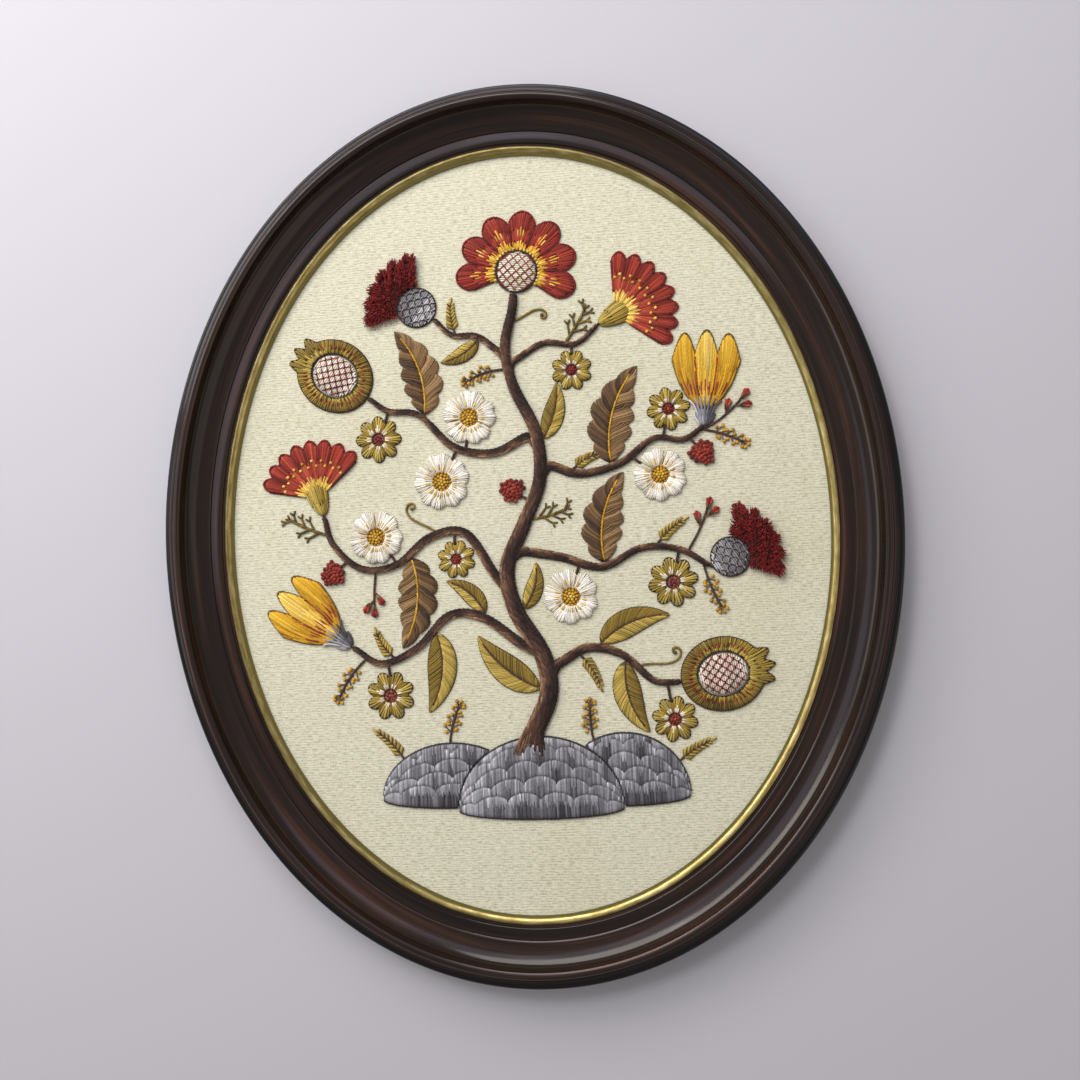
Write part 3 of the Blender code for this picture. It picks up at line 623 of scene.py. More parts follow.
def tubesFor(group, sides):
    # Rings of points round threads that all have the same number of points
    lines = np.array([line for line, colour in group], float)
    centre, radius = lines[..., :3], lines[..., 3]
    run = np.gradient(centre, axis=1)
    run /= np.linalg.norm(run, axis=2, keepdims=True) + 1e-12
    upright = (np.abs(run[..., 2]).mean(axis=1) > 0.6)[:, None, None]
    across = np.cross(run, np.where(upright, (1.0, 0, 0), (0, 0, 1.0)))
    across /= np.linalg.norm(across, axis=2, keepdims=True) + 1e-12
    over = np.cross(across, run)
    turn = np.arange(sides) * 2 * math.pi / sides
    flat = np.where(upright, 1.0, wool["flat"])
    ring = (across[:, :, None, :] * np.cos(turn)[None, None, :, None]
            + (over * flat)[:, :, None, :] * np.sin(turn)[None, None, :, None])
    points = centre[:, :, None, :] + ring * radius[:, :, None, None]
    steps = np.linalg.norm(np.diff(centre, axis=1), axis=2)
    along = np.concatenate([np.zeros((len(lines), 1)), np.cumsum(steps, axis=1)], axis=1) / mm
    lay = np.empty(points.shape)
    lay[..., 0], lay[..., 1] = np.cos(turn), np.sin(turn)
    lay[..., 2] = along[:, :, None]
    tint = np.array([colour for line, colour in group])[:, None, None, :] * np.ones(points.shape)
    count, rows = points.shape[:2]
    start = (np.arange(count) * rows * sides)[:, None, None]
    ringStart = start + (np.arange(rows - 1) * sides)[None, :, None]
    side = np.arange(sides)[None, None, :]
    a, b = ringStart + side, ringStart + (side + 1) % sides
    quads = np.stack([a, a + sides, b + sides, b], axis=-1).reshape(-1, 4)
    first = (start + side).reshape(-1, sides)
    last = (start + (rows - 1) * sides + side[..., ::-1]).reshape(-1, sides)
    return points.reshape(-1, 3), lay.reshape(-1, 3), tint.reshape(-1, 3), quads, first, last


def solidsFor(kind=None, part=None):
    # What a piece stands for: nothing, one solid, or a part of every motif of a kind
    if part is None:
        return [kind] if kind else []
    return [f"{kind}_{n}_{part}" for n in range(1, len(motifsOf(kind)) + 1)]


def castOff(piece):
    # Makes one piece of all the threads laid for it
    yarn, *stands = work[piece]
    cut = piece == "thistle_pile"
    byLength = {}
    for line, colour in laid[piece]:
        byLength.setdefault(len(line), []).append((line, colour))
    points, lays, tints, faces, base = [], [], [], [], 0
    for group in byLength.values():
        spots, lay, tint, quads, first, last = tubesFor(group, wool["pileSides" if cut else "sides"])
        for part in (quads, first, last):
            faces += (part + base).tolist()
        points.append(spots)
        lays.append(lay)
        tints.append(tint)
        base += len(spots)
    if (yarn, cut) not in woolMaterials:
        woolMaterials[yarn, cut] = crewelWool(yarn, cut)
    item = meshPiece(piece, np.concatenate(points).tolist(), faces, woolMaterials[yarn, cut])
    lay = item.data.attributes.new("lay", "FLOAT_VECTOR", "POINT")
    lay.data.foreach_set("vector", np.concatenate(lays).astype(np.float32).ravel())
    tint = item.data.color_attributes.new("tint", "FLOAT_COLOR", "POINT")
    four = np.ones((base, 4), np.float32)
    four[:, :3] = np.concatenate(tints)
    tint.data.foreach_set("color", four.ravel())
    ready(item, solidsFor(*stands))
    print(f"  {piece}: {len(laid[piece])} threads, {len(faces)} faces")


# Stitches

clothTop = linen["top"]
sewing = {
    "shortest": 0.8 * mm, "longFrom": 6.5 * mm,     # a long stitch has two points more
    "dive": 0.5 * mm, "bed": 0.8, "under": 0.2, "tuck": 0.35, "thin": 0.6,
    "over": [0.5], "overLong": [0.28, 0.5, 0.72],   # shares of the points between its ends
    "crown": 0.25, "lowCrown": 0.1, "ridgeCrown": 0.12, "ridge": 0.45,     # mm up
    "stem": 4.6 * mm, "stemCrown": 0.2, "stemSlant": 0.3, "overlap": 0.52,
    "netLift": 0.75, "netWide": 0.62, "tieLift": 1.15, "tieWide": 0.6, "tieHalf": 0.9,
    "beside": 0.98, "satin": 0.88,                  # one row to the next, in widths of yarn
    "jitter": 0.2, "stagger": 0.45, "lowStart": (0.05, 0.25), "shortEnd": 0.1, "rowLift": 0.05,
    "knot": 1.5 * mm, "knotTurns": 1.7, "knotSteps": 11, "knotOut": 0.55, "knotIn": 0.12,
    "knotLow": 0.35, "knotHigh": 1.45,              # of a knot's coil, in mm up
}
diagonal = 0.7071      # across and up, for one unit along a slanting line


def valueAt(value, share):
    # A setting that may follow the share along a thread
    return value(share) if callable(value) else value


def spread(spot, count, start=-1, end=1, t=1.0):
    # Panel points at even steps across a patch
    return [spot(start + (end - start) * i / count, t) for i in range(count + 1)]


def walked(line):
    # Distance along a line of panel points, at each of them
    steps = np.hypot(*np.diff(np.array(line, float), axis=0).T)
    return np.concatenate([[0], np.cumsum(steps)])


def cutLine(line, start, end, count):
    # Points on a line of panel points between two distances along it
    points, lengths = np.array(line, float), walked(line)
    spots = np.linspace(start, end, count)
    return np.stack([np.interp(spots, lengths, points[:, axis]) for axis in (0, 1)], axis=1)


def straight(piece, path, shade, lift=0.0, crown=sewing["crown"], wide=1.0):
    # One stitch along a path of panel points: it comes up through the cloth, lies over and goes down.
    # lift is the padding under it in mm, and may follow the share along the stitch.
    colour = dyed(piece, shade)
    points, lengths = np.array(path, float), walked(path)
    total = lengths[-1]
    if total < sewing["shortest"]:
        return
    radius = wool["wide"] / 2 * wide * rng.uniform(1 - wool["uneven"], 1 + wool["uneven"])
    dive = min(0.2, sewing["dive"] / total)
    over = sewing["overLong" if total > sewing["longFrom"] else "over"]
    settle = rng.uniform(-wool["settle"], wool["settle"])
    line = []
    for share in [0, dive, *over, 1 - dive, 1]:
        x, y = (np.interp(share * total, lengths, points[:, axis]) for axis in (0, 1))
        pad = valueAt(lift, share)
        rise = pad + radius / mm * sewing["bed"] + settle + crown * math.sin(math.pi * share)
        thin = 1.0
        if share in (0, 1):
            rise = min(0.0, pad - sewing["under"]) if pad < 0.5 else pad - sewing["tuck"]
            thin = sewing["thin"]
        line.append((x, y, clothTop + rise * mm, radius * thin))
    laid[piece].append((line, colour))


def stemStitch(piece, line, shade, lift=0.0, wide=1.0, stitch=sewing["stem"]):
    # A rope of stitches, each lying half over the one before. shade and lift may follow the
    # share along the line.
    total = float(walked(line)[-1])
    at = rng.uniform(-0.5, 0) * stitch
    while at < total - 0.25 * stitch:
        start, end = max(0, at), min(total, at + stitch * rng.uniform(0.9, 1.1))
        path = cutLine(line, start, end, 5)
        way = path[-1] - path[0]
        reach = math.hypot(*way)
        if reach > sewing["shortest"]:
            aside = np.array([-way[1], way[0]]) / reach
            push = sewing["stemSlant"] * wool["wide"] * wide
            path = path + aside * np.linspace(-push, push, 5)[:, None]
            middle = (start + end) / 2 / total
            straight(piece, path, valueAt(shade, middle), valueAt(lift, middle), sewing["stemCrown"], wide)
        at += stitch * sewing["overlap"]


def longAndShort(spot, bands, paint, lift, fan=0.0, across=0):
    # Rows of stitches up a patch. spot(s, t) is a panel point, s across from -1 to 1 and t up.
    # paint(s, t) gives the piece and its shade. fan: every other stitch starts further
    # out, where they all run together at the foot. across: how many stand side by side.
    stagger, jitter = sewing["stagger"], sewing["jitter"]
    for row, (start, end) in enumerate(zip(bands, bands[1:])):
        edge = float(walked(spread(spot, 24, t=end))[-1])
        count = across or max(3, round(edge / (wool["wide"] * sewing["beside"])))
        for i in range(count):
            s = -1 + 2 * (i + 0.5 + rng.uniform(-jitter, jitter)) / count
            low, high = start, end
            if row > 0:
                low -= (end - start) * (stagger * (i % 2) + rng.uniform(*sewing["lowStart"]))
            else:
                low += (end - start) * fan * (i % 2)
            if row < len(bands) - 2:
                high -= (end - start) * (stagger * 0.6 * ((i + 1) % 2) + rng.uniform(0, sewing["shortEnd"]))
            else:
                high -= rng.uniform(0, 0.02)
            middle = (low + high) / 2
            piece, shade = paint(s, middle)
            straight(piece, [spot(s, mix(low, high, k / 6)) for k in range(7)], shade,
                     lift(s, middle) + sewing["rowLift"] * row)


def frenchKnot(piece, x, y, shade, size=sewing["knot"], lift=0.0, plump=0.42):
    # Yarn wound round the needle and pulled down: a small coil with a dimple
    colour = dyed(piece, shade)
    start = rng.uniform(0, 2 * math.pi)
    radius = wool["wide"] * plump
    last = sewing["knotSteps"]
    line = []
    for i in range(last + 1):
        share = i / last
        angle = start + share * sewing["knotTurns"] * 2 * math.pi
        out = size * mix(sewing["knotOut"], sewing["knotIn"], share ** 1.3)
        wound = math.sin(math.pi * min(1, share * 1.25) / 2)
        rise = lift + mix(sewing["knotLow"], sewing["knotHigh"], wound) * size / sewing["knot"]
        if i == last:
            rise -= sewing["tuck"]
        line.append((x + out * math.cos(angle), y + out * math.sin(angle), clothTop + rise * mm,
                     radius * (sewing["thin"] if i in (0, last) else 1)))
    laid[piece].append((line, colour))


def knotHeart(piece, place, radius, rings, shade, size, lift):
    # French knots in rings round one in the middle: (share of the radius, how many)
    for ring, count in rings:
        for i in range(count):
            angle = 2 * math.pi * (i + ring) / count
            x, y = place(radius * ring * math.sin(angle), radius * ring * math.cos(angle))
            frenchKnot(piece, x, y, shade(ring), size, lift * (1 - ring))


def ringLine(place, radius, count=40):
    angles = [2 * math.pi * i / count for i in range(count + 1)]
    return [place(radius * math.sin(a), radius * math.cos(a)) for a in angles]


def arched(peak):
    # Padding in mm that rises to its peak halfway along a stitch, as over a cushion
    return lambda share: peak * math.sqrt(max(0.0, 1 - (2 * share - 1) ** 2))


def satinDisc(piece, place, halfWidth, halfHeight, shade, height):
    # Parallel stitches right across a padded disc; shade may follow the row
    rows = max(3, round(2 * halfHeight * chart["unit"] / (wool["wide"] * sewing["satin"])))
    for j in range(rows):
        v = -1 + 2 * (j + 0.5) / rows
        half = math.sqrt(max(0.0, 1 - v * v))
        path = [place(k / 4 * half * halfWidth, v * halfHeight) for k in range(-4, 5)]
        straight(piece, path, valueAt(shade, v), arched(height * half), crown=sewing["lowCrown"])


def overDome(start, end, halfWidth, halfHeight, height, extra):
    # Padding in mm along a thread that lies over a padded disc
    def lift(share):
        x, y = mix(start[0], end[0], share), mix(start[1], end[1], share)
        inside = 1 - (x / halfWidth) ** 2 - (y / halfHeight) ** 2
        return height * math.sqrt(max(0.0, inside)) + extra
    return lift


def trellis(net, ties, place, halfWidth, halfHeight, shades, gap, height):
    # A lattice of long threads over a satin ground, tied down where they cross.
    # shades: of the lattice, then of its ties
    reach = max(halfWidth, halfHeight) * 1.4
    count = int(reach / gap)
    for turn in (1, -1):
        for j in range(-count, count + 1):
            ends = []
            for k in range(-40, 41):
                u = k / 40 * reach
                x, y = (u - j * gap * turn) * diagonal, (u * turn + j * gap) * diagonal
                if (x / halfWidth) ** 2 + (y / halfHeight) ** 2 <= 0.98:
                    ends.append((x, y))
            if len(ends) > 4:
                path = [place(x, y) for x, y in ends]
                lift = overDome(ends[0], ends[-1], halfWidth, halfHeight, height, sewing["netLift"])
                straight(net, path, shades[0], lift, sewing["lowCrown"], sewing["netWide"])
    for i in range(-count, count + 1):
        for j in range(-count, count + 1):
            x, y = (i - j) * gap * diagonal, (i + j) * gap * diagonal
            if (x / halfWidth) ** 2 + (y / halfHeight) ** 2 < 0.8:
                tie = ((x - sewing["tieHalf"], y), (x + sewing["tieHalf"], y))
                lift = overDome(*tie, halfWidth, halfHeight, height, sewing["tieLift"])
                straight(ties, [place(*end) for end in tie], shades[1], lift, sewing["lowCrown"],
                         sewing["tieWide"])


# Patches that the fills follow, in a motif's own chart units

def offAxis(s, lobes):
    # 0 on the axis of a lobe, 1 between two of them
    return abs((s / 2 + 0.5) * lobes % 1 - 0.5) * 2


def scallop(s, lobes, dip, power):
    return 1 - dip * (1 - abs(math.sin(math.pi * (s / 2 + 0.5) * lobes)) ** power)


def fanSpot(place, shape, size):
    def spot(s, t):
        angle = s * math.radians(shape["span"]) / 2
        r = t * shape["reach"] * size * scallop(s, shape["lobes"], shape["dip"] * t, shape["power"])
        return place(r * math.sin(angle), r * math.cos(angle))
    return spot


def cupSpot(place, width, height, bulge, lobes, dip, power):
    def spot(s, t):
        half = width / 2 * math.sin(math.pi / 2 * max(t, 0) ** bulge)
        top = scallop(s, lobes, dip, power) * (1 - 0.1 * s * s)
        return place(s * half, height * t * (1 - (1 - top) * t * t))
    return spot


def bladeSpot(place, length, width, bend, lobes=0, dip=0.0):
    def spot(s, f):
        turn = bend * f
        x = -length / bend * (1 - math.cos(turn))
        y = length / bend * math.sin(turn)
        half = width / 2 * abs(math.sin(math.pi * min(1, max(0, f)) ** 0.75)) ** 0.85
        if lobes:
            half *= 1 - dip * (1 - abs(math.sin(math.pi * f * lobes)) ** 0.6)
        return place(x + s * half * math.cos(turn), y + s * half * math.sin(turn))
    return spot


def bloomSpot(shape, place, size, inner):
    def spot(s, t):
        petal = (s / 2 + 0.5) * shape["petals"] % 1
        notch = shape["notch"] * math.exp(-((petal - 0.5) / shape["notchWidth"]) ** 2)
        dip = shape["dip"] * (1 - abs(math.sin(math.pi * petal)) ** shape["power"])
        r = mix(inner, shape["reach"] * size * (1 - dip - notch), t)
        return place(r * math.sin(math.pi * s), r * math.cos(math.pi * s))
    return spot


def rib(spot, s, start, end, count):
    # Panel points up a patch at one place across it
    return [spot(s, mix(start, end, i / count)) for i in range(count + 1)]


def fishbone(piece, spot, shades, slant=0.15):
    # Slanting stitches from each edge down to the midrib, one half of the blade lighter
    for side, shade in zip((1, -1), shades):
        lengths = walked([spot(side, k / 60) for k in range(61)])
        count = round(lengths[-1] / (wool["wide"] * sewing["beside"]))
        for i in range(1, count):
            place = (i + rng.uniform(-0.2, 0.2)) / count * lengths[-1]
            f = float(np.interp(place, lengths, np.linspace(0, 1, 61)))
            foot = f - slant if f > 2 * slant else f / 2
            path = [spot(side * mix(1.0, 0.02, k / 5), mix(f, foot, k / 5)) for k in range(6)]
            straight(piece, path, valueAt(shade, f), lambda share: sewing["ridge"] * math.sin(2.4 * share),
                     crown=sewing["ridgeCrown"])
        tip = [spot(side * 0.12, f) for f in (1.0, 0.9, 0.8)]
        straight(piece, tip, valueAt(shade, 1.0), 0.2, crown=sewing["ridgeCrown"])


# Mounds: upright stitches, shaded like rows of scales

mounds = {
    "mound_front": {"x": 4, "y": -203, "halfWidth": 58, "height": 50, "scales": 5},
    "mound_left": {"x": -58, "y": -194, "halfWidth": 50, "height": 38, "scales": 4},
    "mound_right": {"x": 63, "y": -195, "halfWidth": 45, "height": 43, "scales": 4},
}
# turn: painted light and shade, each mound paler to its left and darker to its right
scales = {"sag": 7.0, "gap": 1.0, "pitch": 1.0, "stitch": 8.5, "rows": 4, "crown": 6.5, "padding": 1.0,
          "pale": 0.98, "fade": 0.85, "turn": 0.12, "uneven": 0.17}


def moundSpan(m, x, grow=0.0):
    # Top and bottom of a mound over x, in chart units
    u = (x - m["x"]) / (m["halfWidth"] + grow)
    if abs(u) >= 1:
        return None
    bow = math.sqrt(1 - u * u)
    return m["y"] + (m["height"] + grow) * bow, m["y"] - (scales["sag"] + grow) * bow


def scaleTops(m, x):
    # Where the tops of the scales lie over x, from the highest down
    u = (x - m["x"]) / m["halfWidth"]
    bow = math.sqrt(max(0.0, 1 - u * u))
    tops = []
    for row in range(scales["rows"]):
        share = 1 - (row + 0.95) / (scales["rows"] + 0.4)
        v = ((u / 2 + 0.5) * m["scales"] + 0.5 * (row % 2)) % 1 * 2 - 1
        tops.append(m["y"] + (m["height"] * share + scales["crown"] * math.sqrt(1 - v * v)) * bow)
    return tops


def sewScale(piece, m, x, u, top, bottom, high, odd):
    # The stitches down one scale at x, pale along its top and dark at its foot
    deep = m["height"] / scales["rows"] + scales["crown"] * 0.6
    count = max(1, round((top - bottom) / scales["stitch"]))
    for k in range(count):
        wander = 0.3 * odd + rng.uniform(-0.12, 0.12)
        start = top if k == 0 else mix(top, bottom, (k - wander) / count)
        end = bottom if k == count - 1 else mix(top, bottom, (k + 1.1 - wander) / count)
        middle = (start + end) / 2
        tone = mix(scales["pale"], 0.0, min(1, ((top - middle) / deep) ** scales["fade"]))
        # random tone, then painted shade growing toward the mound's right
        tone += rng.uniform(-scales["uneven"], scales["uneven"]) - scales["turn"] * u
        edge = min(high - middle, (1 - abs(u)) * m["halfWidth"]) + 1
        pad = scales["padding"] * math.sin(math.pi / 2 * min(1, edge / 9))
        lean = rng.uniform(-0.2, 0.2)
        straight(piece, [onPanel(x - lean, start), onPanel(x + lean, end)], tone, pad)


def sewMound(piece, m, cover):
    columns = round(2 * m["halfWidth"] / scales["pitch"])
    for i in range(columns):
        u = -1 + 2 * (i + 0.5) / columns
        x = m["x"] + u * m["halfWidth"] * 0.995
        high, low = moundSpan(m, x)
        covered = moundSpan(cover, x, scales["gap"]) if cover else None
        if covered:
            low = max(low, covered[0])
        if high - low < 1.5:
            continue
        edges = [high - 0.4] + [y for y in scaleTops(m, x) if low + 2.5 < y < high - 3] + [low + 0.4]
        for top, bottom in zip(edges, edges[1:]):
            sewScale(piece, m, x, u, top, bottom, high, i % 2)
    rim, base = [], []
    for i in range(121):
        x = m["x"] + math.sin(math.pi * (i / 120 - 0.5)) * m["halfWidth"] * 0.999
        high, low = moundSpan(m, x)
        covered = moundSpan(cover, x, scales["gap"]) if cover else None
        if not covered or high > covered[0]:
            rim.append(onPanel(x, high))
        if not covered or low > covered[0]:
            base.append(onPanel(x, low))
    for line in (rim, base):
        if len(line) > 3:
            stemStitch(piece, line, 0.0, lift=0.15, wide=0.9)


front = mounds["mound_front"]
for name, mound in mounds.items():
    sewMound(name + "_rows", mound, None if mound is front else front)
print("mounds sewn")


# Trunk, boughs and twigs

# light and dark: painted light and shade across a stem, pale on its left and dark on its right
bark = {"pitch": 1.06, "light": 0.92, "dark": 0.0, "padding": 0.16, "edge": 0.55, "stitch": 5.5 * mm,
        "rootFoot": (-3, -167), "rootSplay": 0.9, "onMound": 1.5, "knee": 4.0, "under": 0.035}


def leadIn(name):
    # Chart points up to where a stem's route starts: from inside the trunk, or from down on the mound
    end, (dx, dy), half = onStem(stems[name], 0)
    start = bark["rootFoot"]
    if name in boughs:
        start = onStem(stems["trunk"], boughs[name][0] - bark["under"])[0]
    knee = (end[0] - dx * bark["knee"], end[1] - dy * bark["knee"])
    shares = [k / 12 for k in range(12)]
    return [tuple((1 - u) ** 2 * a + 2 * u * (1 - u) * b + u * u * c for a, b, c in zip(start, knee, end))
            for u in shares]


def sewStem(name):
    # Ropes of stem stitch side by side, with painted light along the left and painted shade along the right
    route, root, tip = stems[name]
    lead = leadIn(name)
    spine = np.array(lead + [onStem(stems[name], i / 90)[0] for i in range(91)])
    halves = [root / 2] * len(lead) + [mix(root, tip, i / 90) / 2 for i in range(91)]
    ways = np.gradient(spine, axis=0)
    ways /= np.linalg.norm(ways, axis=1, keepdims=True)
    ropes = max(3, round(root / bark["pitch"]))
    for j in range(ropes):
        off = (j - (ropes - 1) / 2) * root / ropes
        line, relief = [], []
        for k in range(rng.randrange(0, 5) if name == "trunk" else 0, len(spine)):
            room = halves[k] - bark["edge"]
            if abs(off) - room > 0.75 * bark["pitch"] and abs(off) > 0.6:
                break
            aside = math.copysign(min(abs(off), room), off)
            pad = bark["padding"] * root * math.sqrt(max(0.0, 1 - (aside / halves[k]) ** 2))
            if name == "trunk" and k < len(lead):
                spreading = 1 - k / len(lead)
                aside *= 1 + bark["rootSplay"] * spreading ** 1.5
                pad = mix(pad, bark["onMound"], min(1, spreading * 1.6))
            (x, y), (dx, dy) = spine[k], ways[k]
            line.append(onPanel(x - dy * aside, y + dx * aside))
            relief.append(pad)
        if len(line) < 4:
            continue
        lengths = walked(line)
        # painted light and shade: the further left the rope lies, the paler it is
        tone = mix(bark["dark"], bark["light"], (off / root + 0.5) ** 1.4)
        stemStitch(name + "_ropes", line, lambda m, tone=tone: tone + 0.2 * math.sin(37 * m + 3 * tone),
                   lift=lambda m: float(np.interp(m * lengths[-1], lengths, relief)), stitch=bark["stitch"])


for name in stems:
    sewStem(name)
print("tree sewn")


# Blossoms: each is sewn at its foot, at its size

palmette = {"reach": 31, "span": 236, "lobes": 7, "dip": 0.24, "power": 0.7, "heart": 10.6,
            "bands": [0.38, 0.56, 0.76, 0.985], "throatUpTo": 0.54, "crease": 0.86,
            "accents": ((-0.035, 0.58, 0.70), (0.0, 0.56, 0.78), (0.035, 0.58, 0.70)),
            "inset": 0.6, "dome": 1.3, "netGap": 4.4, "knots": 26, "knot": 1.3 * mm, "knotOff": 2.0,
            "outline": 3.6 * mm, "ring": 3.4 * mm}


def sewPalmette(foot, size):
    p = palmette
    place = onFoot(foot, p["heart"] * size)
    spot = fanSpot(place, p, size)

    def paint(s, t):
        side = offAxis(s, p["lobes"])
        if t < p["throatUpTo"]:
            return "palmette_throat", 0.35 + 0.5 * (1 - side)
        if side > p["crease"]:
            return "palmette_petals_sewn", 0.0
        return "palmette_petals_sewn", 1.0 - 1.1 * (t - 0.5) - 0.35 * side

    longAndShort(spot, p["bands"], paint, lambda s, t: 0.6 * (1 - offAxis(s, p["lobes"])))
    for k in range(1, p["lobes"]):
        stemStitch("palmette_veins", rib(spot, -1 + 2 * k / p["lobes"], 0.46, 1.0, 8), 0.1,
                   lift=0.7, wide=0.75)
    for end in (-1, 1):
        stemStitch("palmette_veins", rib(spot, end, p["bands"][0], 1.0, 8), 0.1, lift=0.2, wide=0.75)
    stemStitch("palmette_veins", spread(spot, 98), 0.3, lift=0.1, wide=0.85, stitch=p["outline"])
    for k in range(p["lobes"]):
        s = -1 + 2 * (k + 0.5) / p["lobes"]
        for off, start, end in p["accents"]:
            straight("palmette_throat", [spot(s + off, start), spot(s + off, end)], 0.8, 1.15, wide=0.7)
    r = p["heart"] * size - p["inset"]
    satinDisc("palmette_heart_sewn", place, r, r, lambda v: 0.8 - 0.3 * abs(v), p["dome"])
    trellis("palmette_lattice", "palmette_ties", place, r, r, (0.4, 0.6), p["netGap"], p["dome"])
    stemStitch("palmette_ring", ringLine(place, r), 0.3, lift=0.35, stitch=p["ring"])
    for i in range(p["knots"]):
        angle = math.radians(p["span"]) * (i / (p["knots"] - 1) - 0.5)
        x, y = place((r + p["knotOff"]) * math.sin(angle), (r + p["knotOff"]) * math.cos(angle))
        frenchKnot("palmette_throat", x, y, 0.9, p["knot"], 0.5)


carnation = {"reach": 34, "span": 128, "lobes": 8, "dip": 0.13, "power": 1.0, "drop": 10.2,
             "bands": [0.2, 0.45, 0.72, 0.985], "throatUpTo": 0.42, "crease": 0.8, "creaseFrom": 0.55,
             "calyxWidth": 13, "calyxHeight": 18, "calyxRibs": (-0.95, -0.32, 0.32, 0.95),
             "outline": 3.2 * mm, "knots": 17, "knot": 1.3 * mm, "knotSpan": 0.94, "knotsAt": (0.60, 0.65)}


def sewCarnation(foot, size):
    c = carnation
    spot = fanSpot(onFoot(foot, c["drop"] * size), c, size)

    def paint(s, t):
        side = offAxis(s, c["lobes"])
        if t < c["throatUpTo"]:
            return "carnation_throats", 0.9
        if side > c["crease"] and t > c["creaseFrom"]:
            return "carnation_petals_sewn", 0.0
        return "carnation_petals_sewn", 1.05 - 0.9 * (t - 0.4) - 0.3 * side

    longAndShort(spot, c["bands"], paint,
                 lambda s, t: 0.35 + 0.25 * math.cos(2 * math.pi * (s / 2 + 0.5) * c["lobes"]))
    for end in (-1, 1):
        stemStitch("carnation_rims", rib(spot, end, 0.3, 1.0, 8), 0.2, lift=0.15, wide=0.8)
    stemStitch("carnation_rims", spread(spot, 96), 0.4, lift=0.15, wide=0.85, stitch=c["outline"])
    for i in range(c["knots"]):
        x, y = spot(c["knotSpan"] * (2 * i / (c["knots"] - 1) - 1), c["knotsAt"][i % 2])
        frenchKnot("carnation_throats", x, y, 0.8, c["knot"], 1.0)
    calyx = cupSpot(onFoot(foot), c["calyxWidth"] * size, c["calyxHeight"] * size, 0.62, 1, 0.12, 1.0)
    longAndShort(calyx, [0.03, 0.5, 1.0], lambda s, t: ("carnation_calyxes", 0.8 - 0.5 * s),
                 lambda s, t: 0.9 * (1 - s * s))
    for s in c["calyxRibs"]:
        stemStitch("carnation_calyxes", rib(calyx, s, 0.1, 1.02, 8), 0.0,
                   lift=0.35 + 0.9 * (1 - s * s), wide=0.6)


thistle = {"reach": 29, "span": 104, "lobes": 6, "dip": 0.10, "power": 0.7, "inner": 0.43, "bulb": 11,
           "tufts": 2000, "pile": 6.0, "shortPile": 0.62, "fibre": 0.34 * mm, "lean": 0.17,
           "drift": 0.8 * mm, "inset": 0.5, "dome": 1.6, "netGap": 5.2, "ring": 3.4 * mm}


def sewThistle(foot, size):
    c = thistle
    place = onFoot(foot, c["bulb"] * size)
    spot = fanSpot(place, c, size)
    heart = spot(0, 0.72)
    for i in range(c["tufts"]):
        t = math.sqrt(mix((c["inner"] - 0.02) ** 2, 0.97 ** 2, rng.random()))
        s = rng.uniform(-0.98, 0.98)
        x, y = spot(s, t)
        edge = min(1, max(abs(s) ** 3, abs(t - 0.71) ** 2 / 0.085))
        # the pile stands in clumps of about 8 mm
        clump = 0.5 + 0.5 * math.sin(900 * x + 2 * math.sin(700 * y)) * math.cos(800 * y)
        tall = c["pile"] * mix(1.0, c["shortPile"], edge) * rng.uniform(0.86, 1.0) * mix(0.93, 1.0, clump)
        leanX, leanY = (x - heart[0]) * c["lean"], (y - heart[1]) * c["lean"]
        driftX, driftY = (rng.uniform(-c["drift"], c["drift"]) for axis in (0, 1))
        line = []
        for share in (0, 1 / 3, 2 / 3, 1):
            line.append((x + (leanX + driftX * share) * share, y + (leanY + driftY * share) * share,
                         clothTop + tall * share * mm, c["fibre"] * mix(1.1, 0.85, share)))
        shade = clump * mix(1, 0.5, edge) + rng.uniform(-0.2, 0.2)
        laid["thistle_pile"].append((line, dyed("thistle_pile", shade)))
    r = c["bulb"] * size - c["inset"]
    satinDisc("thistle_bulbs", place, r, r, lambda v: 0.7 - 0.3 * v, c["dome"])
    trellis("thistle_nets", "thistle_ties", place, r, r, (0.2, 0.7), c["netGap"], c["dome"])
    stemStitch("thistle_nets", ringLine(place, r), 0.15, lift=0.2, wide=0.9, stitch=c["ring"])


fruit = {"width": 42, "height": 48, "windowWidth": 24.4, "windowHeight": 28.4, "flecks": 44,
         "crownAt": (-0.34, 0, 0.34), "crownHalf": 0.17, "crownRise": 0.28,     # three points on top
         "ringRoom": 0.9, "inset": 0.6, "dome": 1.1, "netGap": 4.2, "outline": 3.6 * mm}


